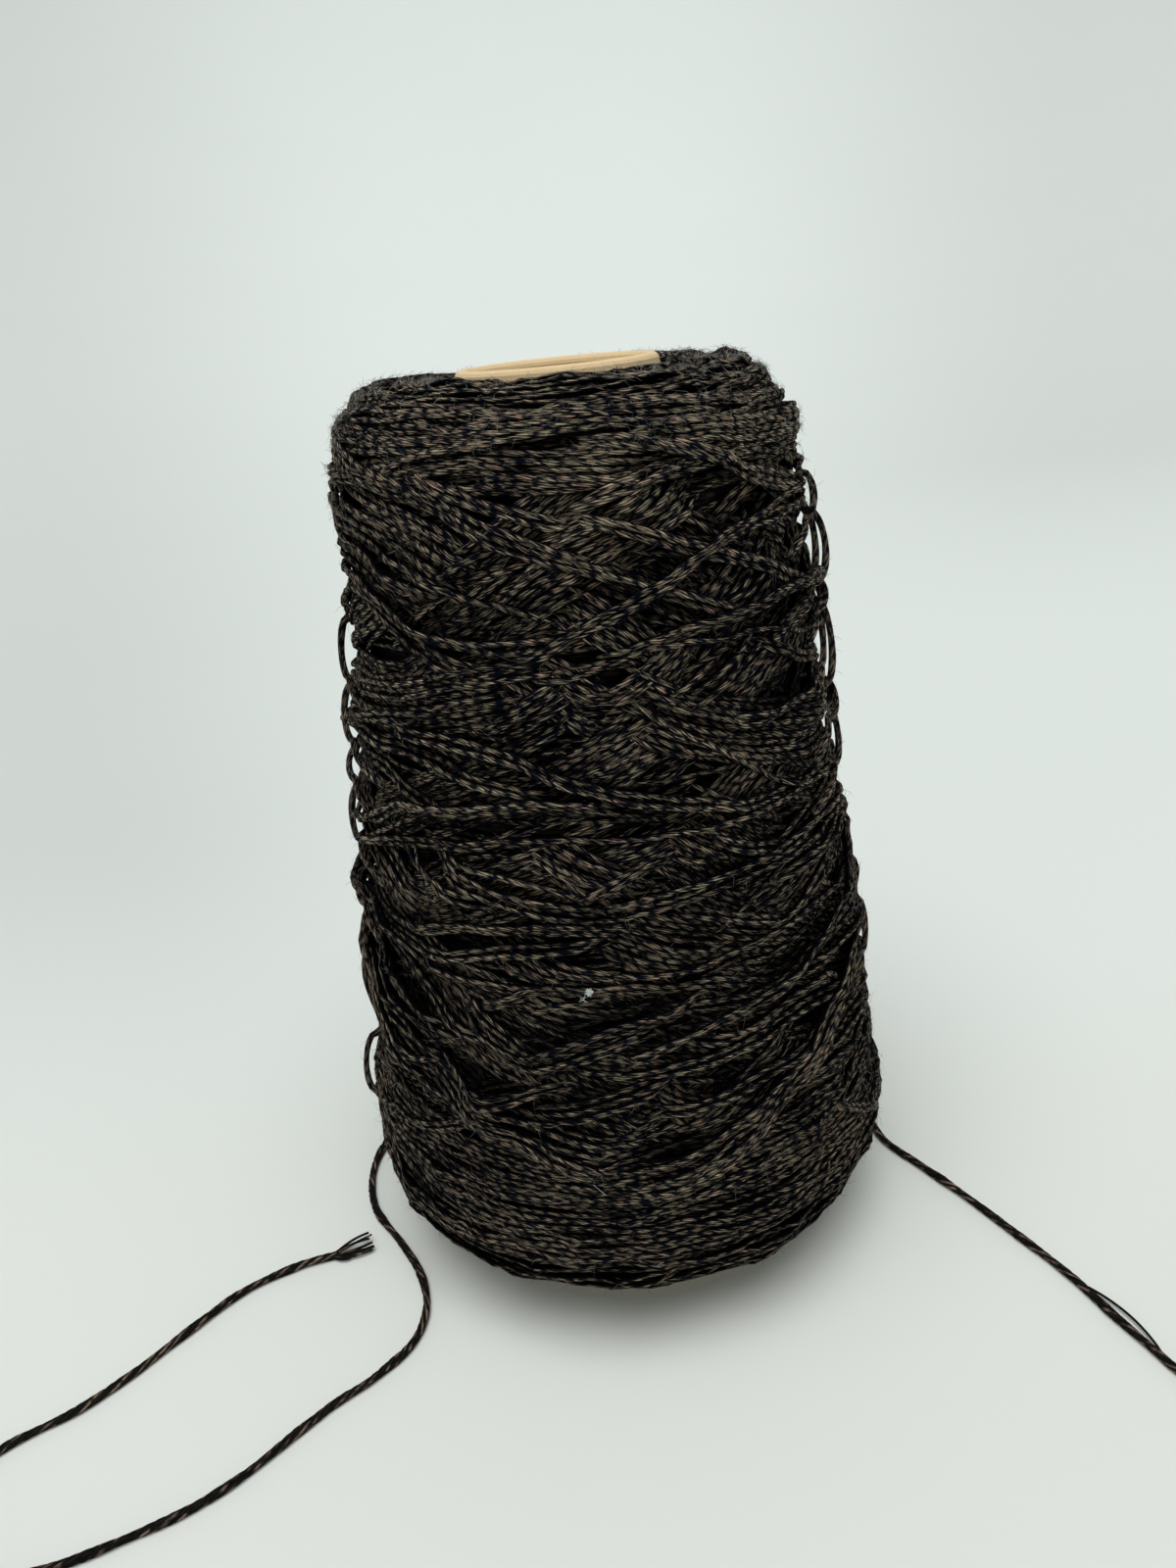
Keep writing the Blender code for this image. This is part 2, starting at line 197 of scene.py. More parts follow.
FRONT_BUNDLES = [
    (2, 0.95, [(-27, 109), (-16, 106.5), (-2, 104.9), (6, 103.5)]),
    (2, 0.95, [(-74, 108), (-57, 109), (-47, 106.3), (-40, 104.9), (-32, 104.5), (-22, 105.5)]),
    (2, 0.95, [(-72, 115.5), (-60, 118), (-50, 119.5), (-30, 121.3)]),
    (1, 0.95, [(-24, 120), (-24.5, 122), (-17, 123.8), (-9, 125.2)]),
    (2, 0.95, [(-22, 126), (-19, 126.5), (-10, 127), (4, 128.6)]),
    (2, 0.95, [(-2, 150.2), (8, 148.4), (20, 144.7), (28, 142.5), (40, 140.2), (50, 136.1), (63, 133)]),
    (2, 0.95, [(-4, 144), (6, 141.5), (14, 138.6), (20, 137.5), (28, 134.3), (37, 131.5), (44, 129.5)]),
    (3, 0.92, [(-86, 131), (-70, 140.2), (-60, 139.3), (-50, 135.6), (-40, 132.9), (-32, 129.7),
        (-20, 126)]),
    (2, 0.95, [(-80, 141.5), (-60, 140.6), (-50, 137), (-40, 134.5), (-30, 133), (-10, 132.4),
        (0, 132.6)]),
    (1, 0.95, [(-52, 137.2), (-48, 138.4), (-40, 140.6), (-33, 142.2)]),
    (1, 0.95, [(-36, 141.4), (-25.5, 144.3), (-20, 146.3), (-12, 149)]),
    (1, 0.95, [(-28, 139.6), (-19, 142), (-10.5, 144.7), (-4, 147)]),
    (1, 0.95, [(-44, 143.6), (-29, 140.6), (-20, 138.8), (-10, 136.8), (-2, 134.8)]),
    (2, 0.95, [(-4, 127.8), (8, 129.3), (20, 130.6), (30, 132), (40, 132.5), (50, 133.4), (70, 132.9),
        (84, 130)]),
    (1, 0.95, [(4, 129.4), (30, 129.3), (40, 128.6), (54, 126.5), (65, 123.8), (80, 121)]),
    (2, 0.95, [(15, 118.6), (20, 120.2), (28, 122.9), (34, 124.7), (44, 129.4)]),
    (1, 0.95, [(10, 120.8), (21, 123.8), (30, 126), (36, 127.8)]),
    (2, 0.95, [(35, 128), (50, 123.4), (59, 120.6), (74, 117.5)]),
    (2, 0.95, [(24, 116), (40, 114.7), (50, 114.5), (70, 113.8), (86, 112.4)]),
    (1, 0.95, [(-6, 115.8), (5, 119.5), (12, 121)]),
    (2, 0.95, [(-5, 109.5), (0, 111.3), (8, 114), (15, 116)]),
    (1, 0.95, [(-6, 104.8), (10, 103), (24, 101.2)]),
    (2, 0.92, [(-76, 113.2), (-60, 114.7), (-40, 113.1), (-33, 111.7), (-27, 109.9), (-16, 108.2),
        (-4, 107.2)]),
    (2, 0.95, [(-60, 99), (-50, 104), (-32, 104.7), (-20, 107), (-10.6, 107.6), (2, 104.9), (8, 103.2)]),
    (2, 0.92, [(-54, 117), (-40, 117.2), (-24, 115.8), (-17, 114.9), (-10.6, 111.7), (2, 107.6),
        (10, 105.4), (20, 104), (34, 100.8), (50, 99.5), (72, 98)]),
    (1, 0.95, [(-72, 92), (-60, 96.3), (-50, 100.8), (-40, 104)]),
    (2, 0.92, [(-82, 91), (-60, 94.9), (-50, 96.7), (-40, 97.6), (-30, 98.5), (-19, 102.2), (-8, 104.4)]),
    (2, 0.95, [(15, 100.8), (20, 99), (28, 95.4), (34, 92.6), (45, 89.9), (60, 87.6)]),
    (1, 0.95, [(9, 97.6), (13.6, 96.7), (17, 94.5), (26, 92)]),
    (1, 0.95, [(34, 90.6), (46, 93.5), (54, 94.5), (68, 95.6)]),
    (2, 0.92, [(-54, 98.4), (-47, 95.8), (-40, 91.3), (-32, 89.5), (-24, 87.4)]),
    (3, 0.92, [(-46, 98), (-40, 96.3), (-30, 92.2), (-20, 90.4), (-10.6, 88), (2, 87.6), (8, 87.4)]),
    (1, 0.95, [(-42, 98), (-27, 94.5), (-16, 93), (-4, 90.4)]),
    (2, 0.95, [(-25, 99.6), (-13, 96.7), (-6, 94.5), (5, 91)]),
    (1, 1.05, [(-36, 99.6), (-10, 100.2), (20, 99.8), (60, 99.6), (84, 98.5)]),
    (2, 0.92, [(6, 87.2), (20, 84.5), (28, 81.3), (34, 79.5), (44, 76.4)]),
    (3, 0.92, [(-8, 87.2), (8, 87.6), (15, 89), (28, 90.4), (37, 90.8), (60, 91.4), (84, 90)]),
    (2, 0.95, [(30, 84), (46, 87.2), (54, 87.8), (76, 88.2)]),
    (2, 0.92, [(-72, 79.4), (-50, 80.8), (-40, 82.6), (-30, 84.5), (-20, 84.9), (-10, 85.4), (10, 84.6)]),
    (2, 0.92, [(-62, 78), (-40, 78.5), (-30, 79.5), (-20, 81.3), (-10, 82.6), (2, 83.6)]),
    (1, 0.95, [(-6, 75.4), (10, 76), (23.6, 76.8), (44, 77.4), (70, 76)]),
    (2, 0.95, [(-80, 78.6), (-60, 79), (-50, 76), (-40, 74.5), (-27, 73), (-14, 74.1), (2, 73.4),
        (20, 72.1), (28, 69.8), (40, 67.1), (60, 65.8), (82, 66)]),
    (2, 0.95, [(-40, 67.5), (-30, 70.3), (-20, 73.5), (-14, 75)]),
    (1, 0.95, [(-26, 67), (-14, 70.7), (-8, 72.1), (4, 72.2)]),
    (2, 0.95, [(-18, 71.4), (-6, 69.4), (10, 68.9), (20, 68.2), (30, 67.1), (50, 69.5), (76, 73)]),
    (2, 0.92, [(-72, 77), (-54, 73), (-49, 69.8), (-40, 66.6), (-30, 64.4), (-18, 63)]),
    (4, 0.92, [(-40, 71), (-34, 69.4), (-30, 67.1), (-27, 64.4), (-19, 61.2), (-8, 58)]),
    (3, 0.92, [(-28, 58), (-21, 60.7), (-15, 63), (-8, 65.3), (-2, 66.9), (11, 68.5), (24, 70)]),
    (2, 0.92, [(-26, 57.6), (-8, 62.1), (2, 64.8), (12, 66.8)]),
    (1, 0.95, [(-34, 57.6), (-17, 59.8), (-6, 61.6)]),
    (2, 0.92, [(-8, 57.6), (8, 63), (15, 64.4), (28, 66.2), (44, 70), (70, 76)]),
    (2, 0.95, [(9, 65), (16, 62.1), (28, 61.2), (34, 61.6), (40, 63), (48, 64.9), (51, 63.5), (54, 61.2),
        (60, 57)]),
    (2, 0.95, [(-10, 56.2), (10, 58), (24, 58.8), (50, 59.8), (78, 58.6)]),
    (2, 0.92, [(-38, 49.8), (-24, 53.5), (-19, 55.3), (-6, 57.4)]),
    (3, 0.92, [(-28, 48.2), (-8, 53), (2, 55.7), (14, 58)]),
    (1, 0.95, [(-72, 48), (-60, 52.5), (-50, 55.7), (-36, 58)]),
    (7, 0.92, [(-84, 70), (-76, 64), (-66, 58), (-56, 53), (-47, 49)]),
    (2, 0.92, [(-66, 36.5), (-50, 39.8), (-44, 41.6), (-39, 45.3), (-34, 47.5), (-26, 49.6)]),
    (3, 0.92, [(-42, 49.5), (-30, 47.1), (-20, 44.4), (-15, 41.6), (-2, 39.4)]),
    (2, 0.92, [(2, 50), (20, 51.6), (30, 52.5), (39, 53), (58, 54), (80, 55)]),
    (6, 0.9, [(-14, 36.6), (-2, 37.5), (10, 39.4), (20, 42.1), (34, 47.5), (46, 52.5), (53, 56.2),
        (66, 62), (82, 68)]),
    (2, 0.92, [(-10, 29.6), (0, 31.2), (8, 33), (20, 35), (36, 38)]),
    (2, 0.92, [(38, 42), (45, 38), (51, 34.4), (57, 30.7), (68, 26)]),
]
TOP_BUNDLES = [
    (3, 0.92, [(-92, 161.5), (-80, 162), (-60, 159), (-40, 155.4), (-30, 153.8), (-20, 149.7), (-10, 146),
        (2, 143), (12, 140)]),
    (2, 0.92, [(-44, 159), (-37, 158), (-20, 153.8), (-10, 151), (2, 149), (10, 147.6)]),
    (1, 0.95, [(-56, 154.6), (-49, 157.2), (-40, 159.5), (-27, 161.5), (-10, 163)]),
    (2, 0.92, [(-8, 150), (0, 151), (10, 154.3), (20, 156.1), (34, 158)]),
    (2, 0.92, [(-6, 161.6), (10, 160.4), (20, 159.5), (29, 157), (40, 154.3), (54, 150.2), (65, 147.9),
        (82, 144)]),
    (1, 0.95, [(18, 160.4), (27, 158.8), (37, 156.5), (44, 153.8), (58, 151), (80, 148)]),
    (2, 0.9, [(-46, 124.8), (-36, 126.5), (-20, 128.6), (-10, 130.4), (-4, 132.5), (2, 135.2),
        (10, 137.5), (20, 141), (30, 143.8), (40, 145.2), (50, 145.2), (70, 144.7), (84, 142)]),
    (1, 0.95, [(24, 142), (37, 144.7), (50, 146.6), (57, 147.9), (76, 149)]),
    (1, 0.95, [(0, 127.4), (5.2, 124), (10, 120.4), (20, 114.5), (28, 111.3), (40, 104.5), (50, 99.9),
        (59, 97.9), (76, 95)]),
    (2, 0.92, [(-14, 88.4), (-10, 89.5), (-2, 92.2), (4, 94.7), (10, 95.8), (18.6, 98.5), (26, 100.6)]),
]

# Slack loops that stand off the sides where a yarn passes round: angle, middle run, height, how
# far the ends go on round behind and in front, and the stand-off.
LOOPS = [
    (80, 144.6, 6.5, 10, 16, 1.8), (80, 135.5, 11.5, 8, 28, 2.9), (80, 136.5, 10, 10, 24, 1.2),
    (80, 127, 4, 8, 10, 2), (80, 127, 1.6, 8, 10, 1.2), (79, 118.3, 13.5, 8, 26, 2.3),
    (79, 119.5, 8.5, 12, 18, 0.9), (78, 107.6, 5, 10, 16, 1.7), (78, 107.2, 2.4, 10, 14, 0.9),
    (77, 101, 8, 10, 18, 1.3), (76, 61, 7, 16, 12, 1.1), (-82, 125.6, 9, 8, 22, 1.3),
    (-82, 113.5, 8, 8, 20, 1.5), (-82, 103.5, 2.6, 8, 10, 1.3), (-81, 94, 7.5, 8, 16, 1.4),
    (-81, 78.5, 3, 8, 12, 1.5), (-82, 62, 5.5, 10, 14, 1.2), (-83, 37, 8, 12, 14, 3),
]
LOOP_SEAT = 0.2
# How many places are tried for a turn in a hollow, and how deep a hollow has to be.
HOLLOW_TRIES = 1000
HOLLOW_DEPTH = 2.4
# Short loops that rise off the shoulder beside the rim: angle, run, half span and height.
RIM_LOOPS = [
    (50, 178.5, 15, 1.2), (46, 177, 11, 0.7), (-64, 177, 7, 1), (-44, 180, 6, 0.9),
]

# The loose ends' middle lines on the table as the solids have them, and how high the yarn's underside
# stands at the first points, where it leaves the wound body.
YARN_DIAMETER = 1.6
YARN_LIFT = 0.02
LEFT_ROUTE = [
    (-34.9, 41.5), (-44, 33.3), (-52.8, 23), (-58.1, 13.5), (-59.7, 3), (-57.2, -8.3), (-50.6, -19),
    (-45.8, -28), (-43.9, -37), (-45.9, -45.2), (-52.1, -52.1), (-58.7, -56.8), (-64.9, -62.5),
    (-71.9, -69), (-79.3, -74.1), (-89.1, -78.5), (-100.5, -82.2), (-114.8, -84), (-122.9, -77),
    (-123.5, -66.2), (-117, -58.6), (-106.5, -52.4), (-98.9, -45.7), (-90, -35.9), (-81.8, -27.8),
    (-72.7, -22.7), (-64.8, -20.6), (-56.2, -19.1),
]
LEFT_RISE = (23, 14.5, 4.5)
RIGHT_ROUTE = [
    (38.9, 37.8), (45.8, 30.8), (51.4, 21.5), (53.6, 10.5), (55.3, -2.2), (60.8, -11.6), (67.2, -22.5),
    (73.4, -33.9), (78.8, -44.8), (83.1, -55.6), (85.7, -62), (88.7, -68.7), (94, -76.3), (102, -82.3),
    (111, -85.3),
]
RIGHT_RISE = (21, 13.5, 4.5)
# The frayed tip's plies: reach, how far aside and up they end, how they curl, and how thick they are.
FRAYS = [
    (7.6, 2.3, 1.3, 1.1, 1), (8.2, 1.8, 1.2, 0.5, 0.95), (7.6, 1.3, 0.9, 1, 1),
    (8.2, 0.2, 0.9, -0.2, 1.1), (8.4, -0.3, 0.4, -0.3, 1.2), (8, -0.5, 0.1, -0.9, 1.1),
    (4.4, -0.6, 0, -1, 0.8),
]
FRAY_LENGTH = 8.0
# Where one ply of the right end has come away from it, in steps of its line from its far end.
SPLAY_FIRST = 65
SPLAY_LAST = 43
SPLAY_REACH = 1.8
LINE_STEP = 0.8
LOOSE_SIDES = 6
HAIR_RADIUS = 0.028
HAIR_SIDES = 3
LINT_SIDES = 4
PALE = 2.0

# Pale lint on the yarn: angle, run, how far it reaches and how many fibres it has.
LINT = [
    (-6.5, 74.5, 1.15, 60), (-8, 73, 1.3, 4), (2, 22, 2.2, 1), (-8, 38.5, 2.6, 1), (-22.5, 14, 3, 1),
    (-26, 0, 3.2, 1), (-7, -0.5, 4, 2), (8, 0, 3.5, 2),
]
LINT_RADIUS = 0.045

# The camera, solved from the photograph, and the stage.
CAMERA_PLACE = (-2.0, -212.0, 179.07)
CAMERA_PITCH = 22.3
CAMERA_ROLL = 5.9
CAMERA_LENS = 27.0
FLOOR_FLAT = 1.2
FLOOR_CURVE = 4.0
AIR = (0.95, 1.0, 0.98, 1.0)
AIR_STRENGTH = 0.36
LAMP_ANGLE = 50.0
LAMP_ENERGY = 2.16
LAMP_PLACE = (-0.06, -0.27, 1.0)
SPIN_STEPS = 96
UPWARD = np.array([0.0, 0.0, 1.0])


class YarnSizes(bpy.types.PropertyGroup):
    """The yarn as it lies on the cone."""

    turn_width: FloatProperty(
        name="Turn width", description="Width of one flattened turn", default=1.26 * MM, unit="LENGTH"
    )
    turn_thickness: FloatProperty(
        name="Turn thickness", description="Thickness of one turn", default=1.0 * MM, unit="LENGTH"
    )
    twist: FloatProperty(
        name="Twist", description="Length of one full twist of the plies", default=22.0 * MM, unit="LENGTH"
    )
    segment: FloatProperty(
        name="Segment", description="Length between the rings of a turn", default=2.5 * MM, unit="LENGTH"
    )
    hairs: IntProperty(name="Hairs", description="Loose fibres that stand off the yarn", default=9000)


class LooseEndSizes(bpy.types.PropertyGroup):
    """The loose ends on the table."""

    plies: IntProperty(name="Plies", description="Plies in the yarn", default=8)
    ply_radius: FloatProperty(
        name="Ply radius", description="Radius of one ply", default=0.3 * MM, unit="LENGTH"
    )
    ply_pitch: FloatProperty(
        name="Ply pitch", description="Length in which the plies turn once", default=11.0 * MM, unit="LENGTH"
    )


class YarnColours(bpy.types.PropertyGroup):
    """The colours of the yarn, the pasteboard and the stage."""

    brown: FloatVectorProperty(
        name="Brown", description="The taupe brown plies", default=(0.202, 0.172, 0.119), subtype="COLOR"
    )
    blush: FloatVectorProperty(
        name="Blush", description="The pinker fibres", default=(0.236, 0.167, 0.126), subtype="COLOR"
    )
    navy: FloatVectorProperty(
        name="Navy", description="The blue black plies", default=(0.0012, 0.0019, 0.0050), subtype="COLOR"
    )
    lint: FloatVectorProperty(
        name="Lint", description="Pale lint caught in the yarn", default=(0.62, 0.65, 0.64), subtype="COLOR"
    )
    pasteboard: FloatVectorProperty(
        name="Pasteboard", description="The cone's board", default=(0.776, 0.582, 0.340), subtype="COLOR"
    )
    floor: FloatVectorProperty(
        name="Floor", description="The studio floor", default=(0.728, 0.746, 0.710), subtype="COLOR"
    )


# ---------------------------------------------------------------- shader maths


class Wire:
    """One value in a finish, with the arithmetic that an expression needs."""

    def __init__(self, finish, socket):
        self.finish, self.socket = finish, socket

    def maths(self, operation, *values, clamp=False):
        """The socket of a Math node on these values."""
        settings = {"operation": operation, "use_clamp": clamp}
        return self.finish.value("ShaderNodeMath", settings, dict(enumerate(values)))

    def __add__(self, other):
        return self.maths("ADD", self, other)

    def __sub__(self, other):
        return self.maths("SUBTRACT", self, other)

    def __mul__(self, other):
        return self.maths("MULTIPLY", self, other)

    def __truediv__(self, other):
        return self.maths("DIVIDE", self, other)

    def __radd__(self, other):
        return self.maths("ADD", other, self)

    def __rsub__(self, other):
        return self.maths("SUBTRACT", other, self)

    def __rmul__(self, other):
        return self.maths("MULTIPLY", other, self)

    def part(self):
        """The fraction left of a whole number."""
        return self.maths("FRACT", self)

    def size(self):
        """The value without its sign."""
        return self.maths("ABSOLUTE", self)

    def power(self, exponent):
        """The value raised to a power."""
        return self.maths("POWER", self, exponent)

    def between(self, low, high):
        """0 below low, 1 above high, and a smooth step in between."""
        settings = {"interpolation_type": "SMOOTHSTEP"}
        return self.finish.value("ShaderNodeMapRange", settings, {0: self, 1: low, 2: high})


class Finish:
    """A procedural material under construction."""

    def __init__(self, name, roughness, sheen=0.0, specular=0.5):
        self.material = bpy.data.materials.new(name)
        self.material.use_nodes = True
        self.tree = self.material.node_tree
        self.shader = self.tree.nodes["Principled BSDF"]
        self.shader.inputs["Roughness"].default_value = roughness
        self.shader.inputs["Sheen Weight"].default_value = sheen
        self.shader.inputs["Specular IOR Level"].default_value = specular

    def node(self, kind, settings, sockets):
        """A node of any kind: its settings first, then the values or links of its sockets."""
        node = self.tree.nodes.new(kind)
        for name, setting in settings.items():
            setattr(node, name, setting)
        for key, value in sockets.items():
            value = getattr(value, "socket", value)
            if isinstance(value, bpy.types.NodeSocket):
                self.tree.links.new(value, node.inputs[key])
            else:
                node.inputs[key].default_value = value
        return node

    def value(self, kind, settings, sockets, output=0):
        """One output of a new node, ready for arithmetic."""
        return Wire(self, self.node(kind, settings, sockets).outputs[output])

    def mixed(self, share, first, second, blend="MIX"):
        """Two colours mixed by a share."""
        settings = {"data_type": "RGBA", "blend_type": blend}
        return self.value("ShaderNodeMix", settings, {0: share, 6: first, 7: second}, 2)

    def noise(self, place, scale, detail=2.0, roughness=0.5):
        """Soft noise from 0 to 1 at a place."""
        sockets = {"Vector": place, "Scale": scale, "Detail": detail, "Roughness": roughness}
        return self.value("ShaderNodeTexNoise", {}, sockets)

    def place(self):
        """The object's own coordinates, in metres."""
        return self.node("ShaderNodeTexCoord", {}, {}).outputs["Object"]

    def parts(self, vector):
        """The three numbers of a vector."""
        node = self.node("ShaderNodeSeparateXYZ", {}, {0: vector})
        return [Wire(self, node.outputs[k]) for k in range(3)]

    def vector(self, x, y, z):
        """A vector from three numbers."""
        return self.value("ShaderNodeCombineXYZ", {}, {0: x, 1: y, 2: z})

    def attribute(self, name):
        """A number that the mesh carries."""
        return self.value("ShaderNodeAttribute", {"attribute_name": name}, {}, 2)

    def strand(self):
        """How far along its twist and how far round its tube a point of a strand lies."""
        node = self.node("ShaderNodeUVMap", {"uv_map": "Strand"}, {})
        return self.parts(node.outputs[0])[:2]

    def shaded(self, shade, colour):
        """A colour made darker or lighter by a number."""
        return self.mixed(1.0, colour, self.vector(shade, shade, shade), "MULTIPLY")

    def finish(self, colour, roughness=None, height=None, depth=0.0001, strength=1.0):
        """Link what changes over the surface, and hand over the material."""
        self.tree.links.new(colour.socket, self.shader.inputs["Base Color"])
        if roughness is not None:
            self.tree.links.new(roughness.socket, self.shader.inputs["Roughness"])
        if height is not None:
            sockets = {"Strength": strength, "Distance": depth, "Height": height}
            bump = self.node("ShaderNodeBump", {}, sockets)
            self.tree.links.new(bump.outputs["Normal"], self.shader.inputs["Normal"])
        return self.material


def rgba(colour, share=1.0):
    """A plain colour for a colour socket, darkened or lightened by a share."""
    return (colour[0] * share, colour[1] * share, colour[2] * share, 1.0)


def marled_yarn_finish(colours):
    """Brown flecks between navy ones, ragged from ply to ply, with painted shade as dark lines between the
    plies.
    """
    cloth = Finish("marled_yarn", 0.92, specular=0.035)
    along, around = cloth.strand()
    tone, depth = cloth.attribute("tone"), cloth.attribute("depth")
    place = cloth.place()
    _, _, height = cloth.parts(place)
    patchy = cloth.noise(place, 90.0, 2.0) - 0.5
    blush = cloth.noise(place, 520.0, 1.0).between(0.47, 0.64)
    length = along * (bpy.context.scene.cone_yarn_sizes.twist / MM)
    ply = (around + along) * PLIES_ROUND
    shift = cloth.noise(cloth.vector(length * 0.22, ply, tone * 11.0), 1.0, 1.0, 0.5) - 0.5
    ragged = cloth.noise(cloth.vector(length * 0.9, ply * 1.6, tone * 23.0), 1.0, 2.0, 0.6) - 0.5
    marl = ((length * (1.0 / FLECK_LENGTH) + 0.7 * around + 1.9 * shift).part() - 0.5).size() * 2.0 - 0.5
    brown = (0.62 * marl + 1.15 * ragged + 0.5 * patchy - 0.06).between(-0.22, 0.22)
    # The lines between the plies are painted shade in the grooves; the fibre streaks on the plies are partly
    # the fibres' own colour and partly painted highlight.
    between = ((ply.part() - 0.5).size() * 2.0).between(0.4, 0.95)
    fibre = cloth.noise(cloth.vector(length * 0.6, ply * 3.2, tone * 17.0), 1.0, 2.0, 0.6)
    streak = fibre.between(0.34, 0.66) * (1.0 - between)
    # Painted shade: each strand is darkened towards its flanks, a little more below the upper body; standing
    # loops, whose depth is below zero, keep at least 0.55 of their colour there.
    above = height.between(0.125, 0.145)
    crown = (0.48 + 0.02 * above - (around - 0.25).size()).between(0.30, 0.43)
    crown = crown.maths("MAXIMUM", crown, 0.55 - 0.55 * depth.between(-0.8, -0.4))
    warm = cloth.mixed(blush, rgba(colours.brown), rgba(colours.blush))
    taupe = cloth.shaded(0.14 + 2.3 * streak, warm)
    dark = cloth.mixed(streak, rgba(colours.navy, 0.5), rgba(colours.navy, 4.0))
    colour = cloth.mixed(brown, dark, taupe)
    # Painted shade: strands that lie deep under their neighbours are darkened, down to 0.15 of their colour.
    buried = 1.0 - 0.85 * depth.between(0.5, 3.2)
    # Painted light: brighter up the body and brighter again at the shoulder, darkest at the foot.
    lit = 0.90 + 0.12 * height.between(0.075, 0.10) + 0.16 * height.between(0.150, 0.164)
    # The shade mixes each strand's random tone with the painted light and shade above; where it is low, the
    # colour goes to near-black navy.
    shade = (0.80 + 0.4 * patchy) * (0.8 + 0.35 * tone) * lit * crown * buried
    colour = cloth.mixed(shade, rgba(colours.navy, 0.2), colour)
    return cloth.finish(colour, height=0.5 * fibre - 0.7 * between, depth=0.15 * MM, strength=0.9)


def loose_yarn_finish(colours):
    """Single plies, brown or navy, with fibres along them and lit stretches on the brown ones."""
    cloth = Finish("loose_yarn", 0.85, specular=0.08)
    along, around = cloth.strand()
    tone = cloth.attribute("tone")
    length = along * (bpy.context.scene.cone_yarn_ends.ply_pitch / MM)
    fibre = cloth.noise(cloth.vector(length * 0.5, (around + along) * 7.0, tone * 31.0), 1.0, 3.0, 0.65)
    streak = fibre.between(0.35, 0.65)
    lit = cloth.noise(cloth.vector(length * 0.36, tone * 53.0, tone * 17.0), 1.0, 2.0).between(0.44, 0.6)
    taupe = cloth.mixed(streak, rgba(colours.blush, 0.1), rgba(colours.blush, 0.95))
    dark = cloth.mixed(streak, rgba(colours.navy, 0.4), rgba(colours.brown, 0.06))
    colour = cloth.mixed(tone.between(0.45, 0.55) * lit, dark, taupe)
    return cloth.finish(colour, height=fibre, depth=0.08 * MM, strength=0.7)


def wound_core_finish(colours):
    """The buried turns that the gaps open on: the yarn's colours darkened as painted shade, and close."""
    cloth = Finish("buried_turns", 0.95, specular=0.1)
    x, y, z = cloth.parts(cloth.place())
    turn = ((z * (1.0 / (1.05 * MM))).part() - 0.5).size() * 2.0
    speckle = cloth.noise(cloth.vector(x * 300.0, y * 300.0, z * 950.0), 1.0, 2.0).between(0.45, 0.6)
    # Painted shade: the brown is darkened to a small share, as for turns deep in the gaps.
    colour = cloth.mixed(speckle, rgba(colours.navy, 1.2), rgba(colours.brown, 0.12))
    # Painted shade in the grooves between the turns.
    groove = turn.power(2.0)
    return cloth.finish(cloth.shaded(1.0 - 0.8 * groove, colour), height=1.0 - groove, depth=0.4 * MM)


def loose_fibre_finish(colours):
    """Loose fibres that stand off the yarn: a dull grey brown."""
    cloth = Finish("loose_fibres", 0.9, sheen=0.1, specular=0.2)
    pale = cloth.attribute("tone")
    # A fibre's tone sets how pale it is; the wider range at the sides and shoulder is painted rim light.
    colour = cloth.mixed(pale, rgba(colours.brown, 0.35), rgba(colours.lint, 0.6))
    colour = cloth.mixed(pale.between(1.5, 1.9), colour, rgba(colours.lint))
    return cloth.finish(colour)


def pasteboard_finish(colours):
    """Wound pasteboard: pale tan plies, fine fibres and a spiral seam."""
    board = Finish("pasteboard", 0.82, specular=0.3)
    place = board.place()
    x, y, z = board.parts(place)
    fibre = board.noise(board.vector(x * 900.0, y * 900.0, z * 240.0), 1.0, 4.0, 0.6)
    cloud = board.noise(place, 70.0, 3.0)
    speck = board.noise(place, 1100.0, 1.0).between(0.70, 0.78)
    colour = board.mixed(cloud, rgba(colours.pasteboard, 0.94), rgba(colours.pasteboard, 1.06))
    colour = board.mixed(fibre.between(0.4, 0.75) * 0.3, colour, rgba(colours.pasteboard, 0.8))
    colour = board.mixed(speck * 0.35, colour, rgba(colours.pasteboard, 0.45))
    turned = x.maths("ARCTAN2", y, x)
    seam = ((z * 12.0 + turned * (0.5 / math.pi)).part() - 0.5).size()
    line = 1.0 - seam.between(0.0, 0.008)
    colour = board.mixed(line * 0.3, colour, rgba(colours.pasteboard, 0.4))
    rough = 0.78 + 0.16 * fibre
    return board.finish(colour, roughness=rough, height=fibre + line * -0.6, depth=0.05 * MM)


def floor_finish(colours):
    """Studio paper, with painted light: brightest and warmest round the object, greyer towards the far sides.
    """
    paper = Finish("studio_paper", 0.9, specular=0.2)
    x, y, _ = paper.parts(paper.place())
    patch = paper.noise(paper.place(), 3.0, 2.0)
    # Painted light: the paper darkens further off, more so to the sides, and a little on the near right, and
    # turns cooler further off; the patches are the paper's own.
    ahead = y - CAMERA_PLACE[1] * MM
    aside = (x / (ahead.size() + 0.05)).size().between(0.08, 0.42)
    aside = aside * (1.0 - x.between(-0.02, 0.08) * (1.0 - ahead.between(0.5, 1.2)))
    painted_falloff = 1.0 - ahead.between(0.15, 0.45) * (0.085 + 0.135 * aside)
    beside = x.between(0.04, 0.2) * (1.0 - ahead.between(0.1, 0.3))
    shade = painted_falloff * (0.985 + 0.025 * patch) * (1.0 - 0.05 * beside)
    red, green, blue = colours.floor
    far = (1.045 * red, 1.075 * green, 1.10 * blue, 1.0)
    tint = paper.mixed(ahead.between(0.1, 0.45), rgba(colours.floor), far)
    return paper.finish(paper.mixed(shade, (0.0, 0.0, 0.0, 1.0), tint))


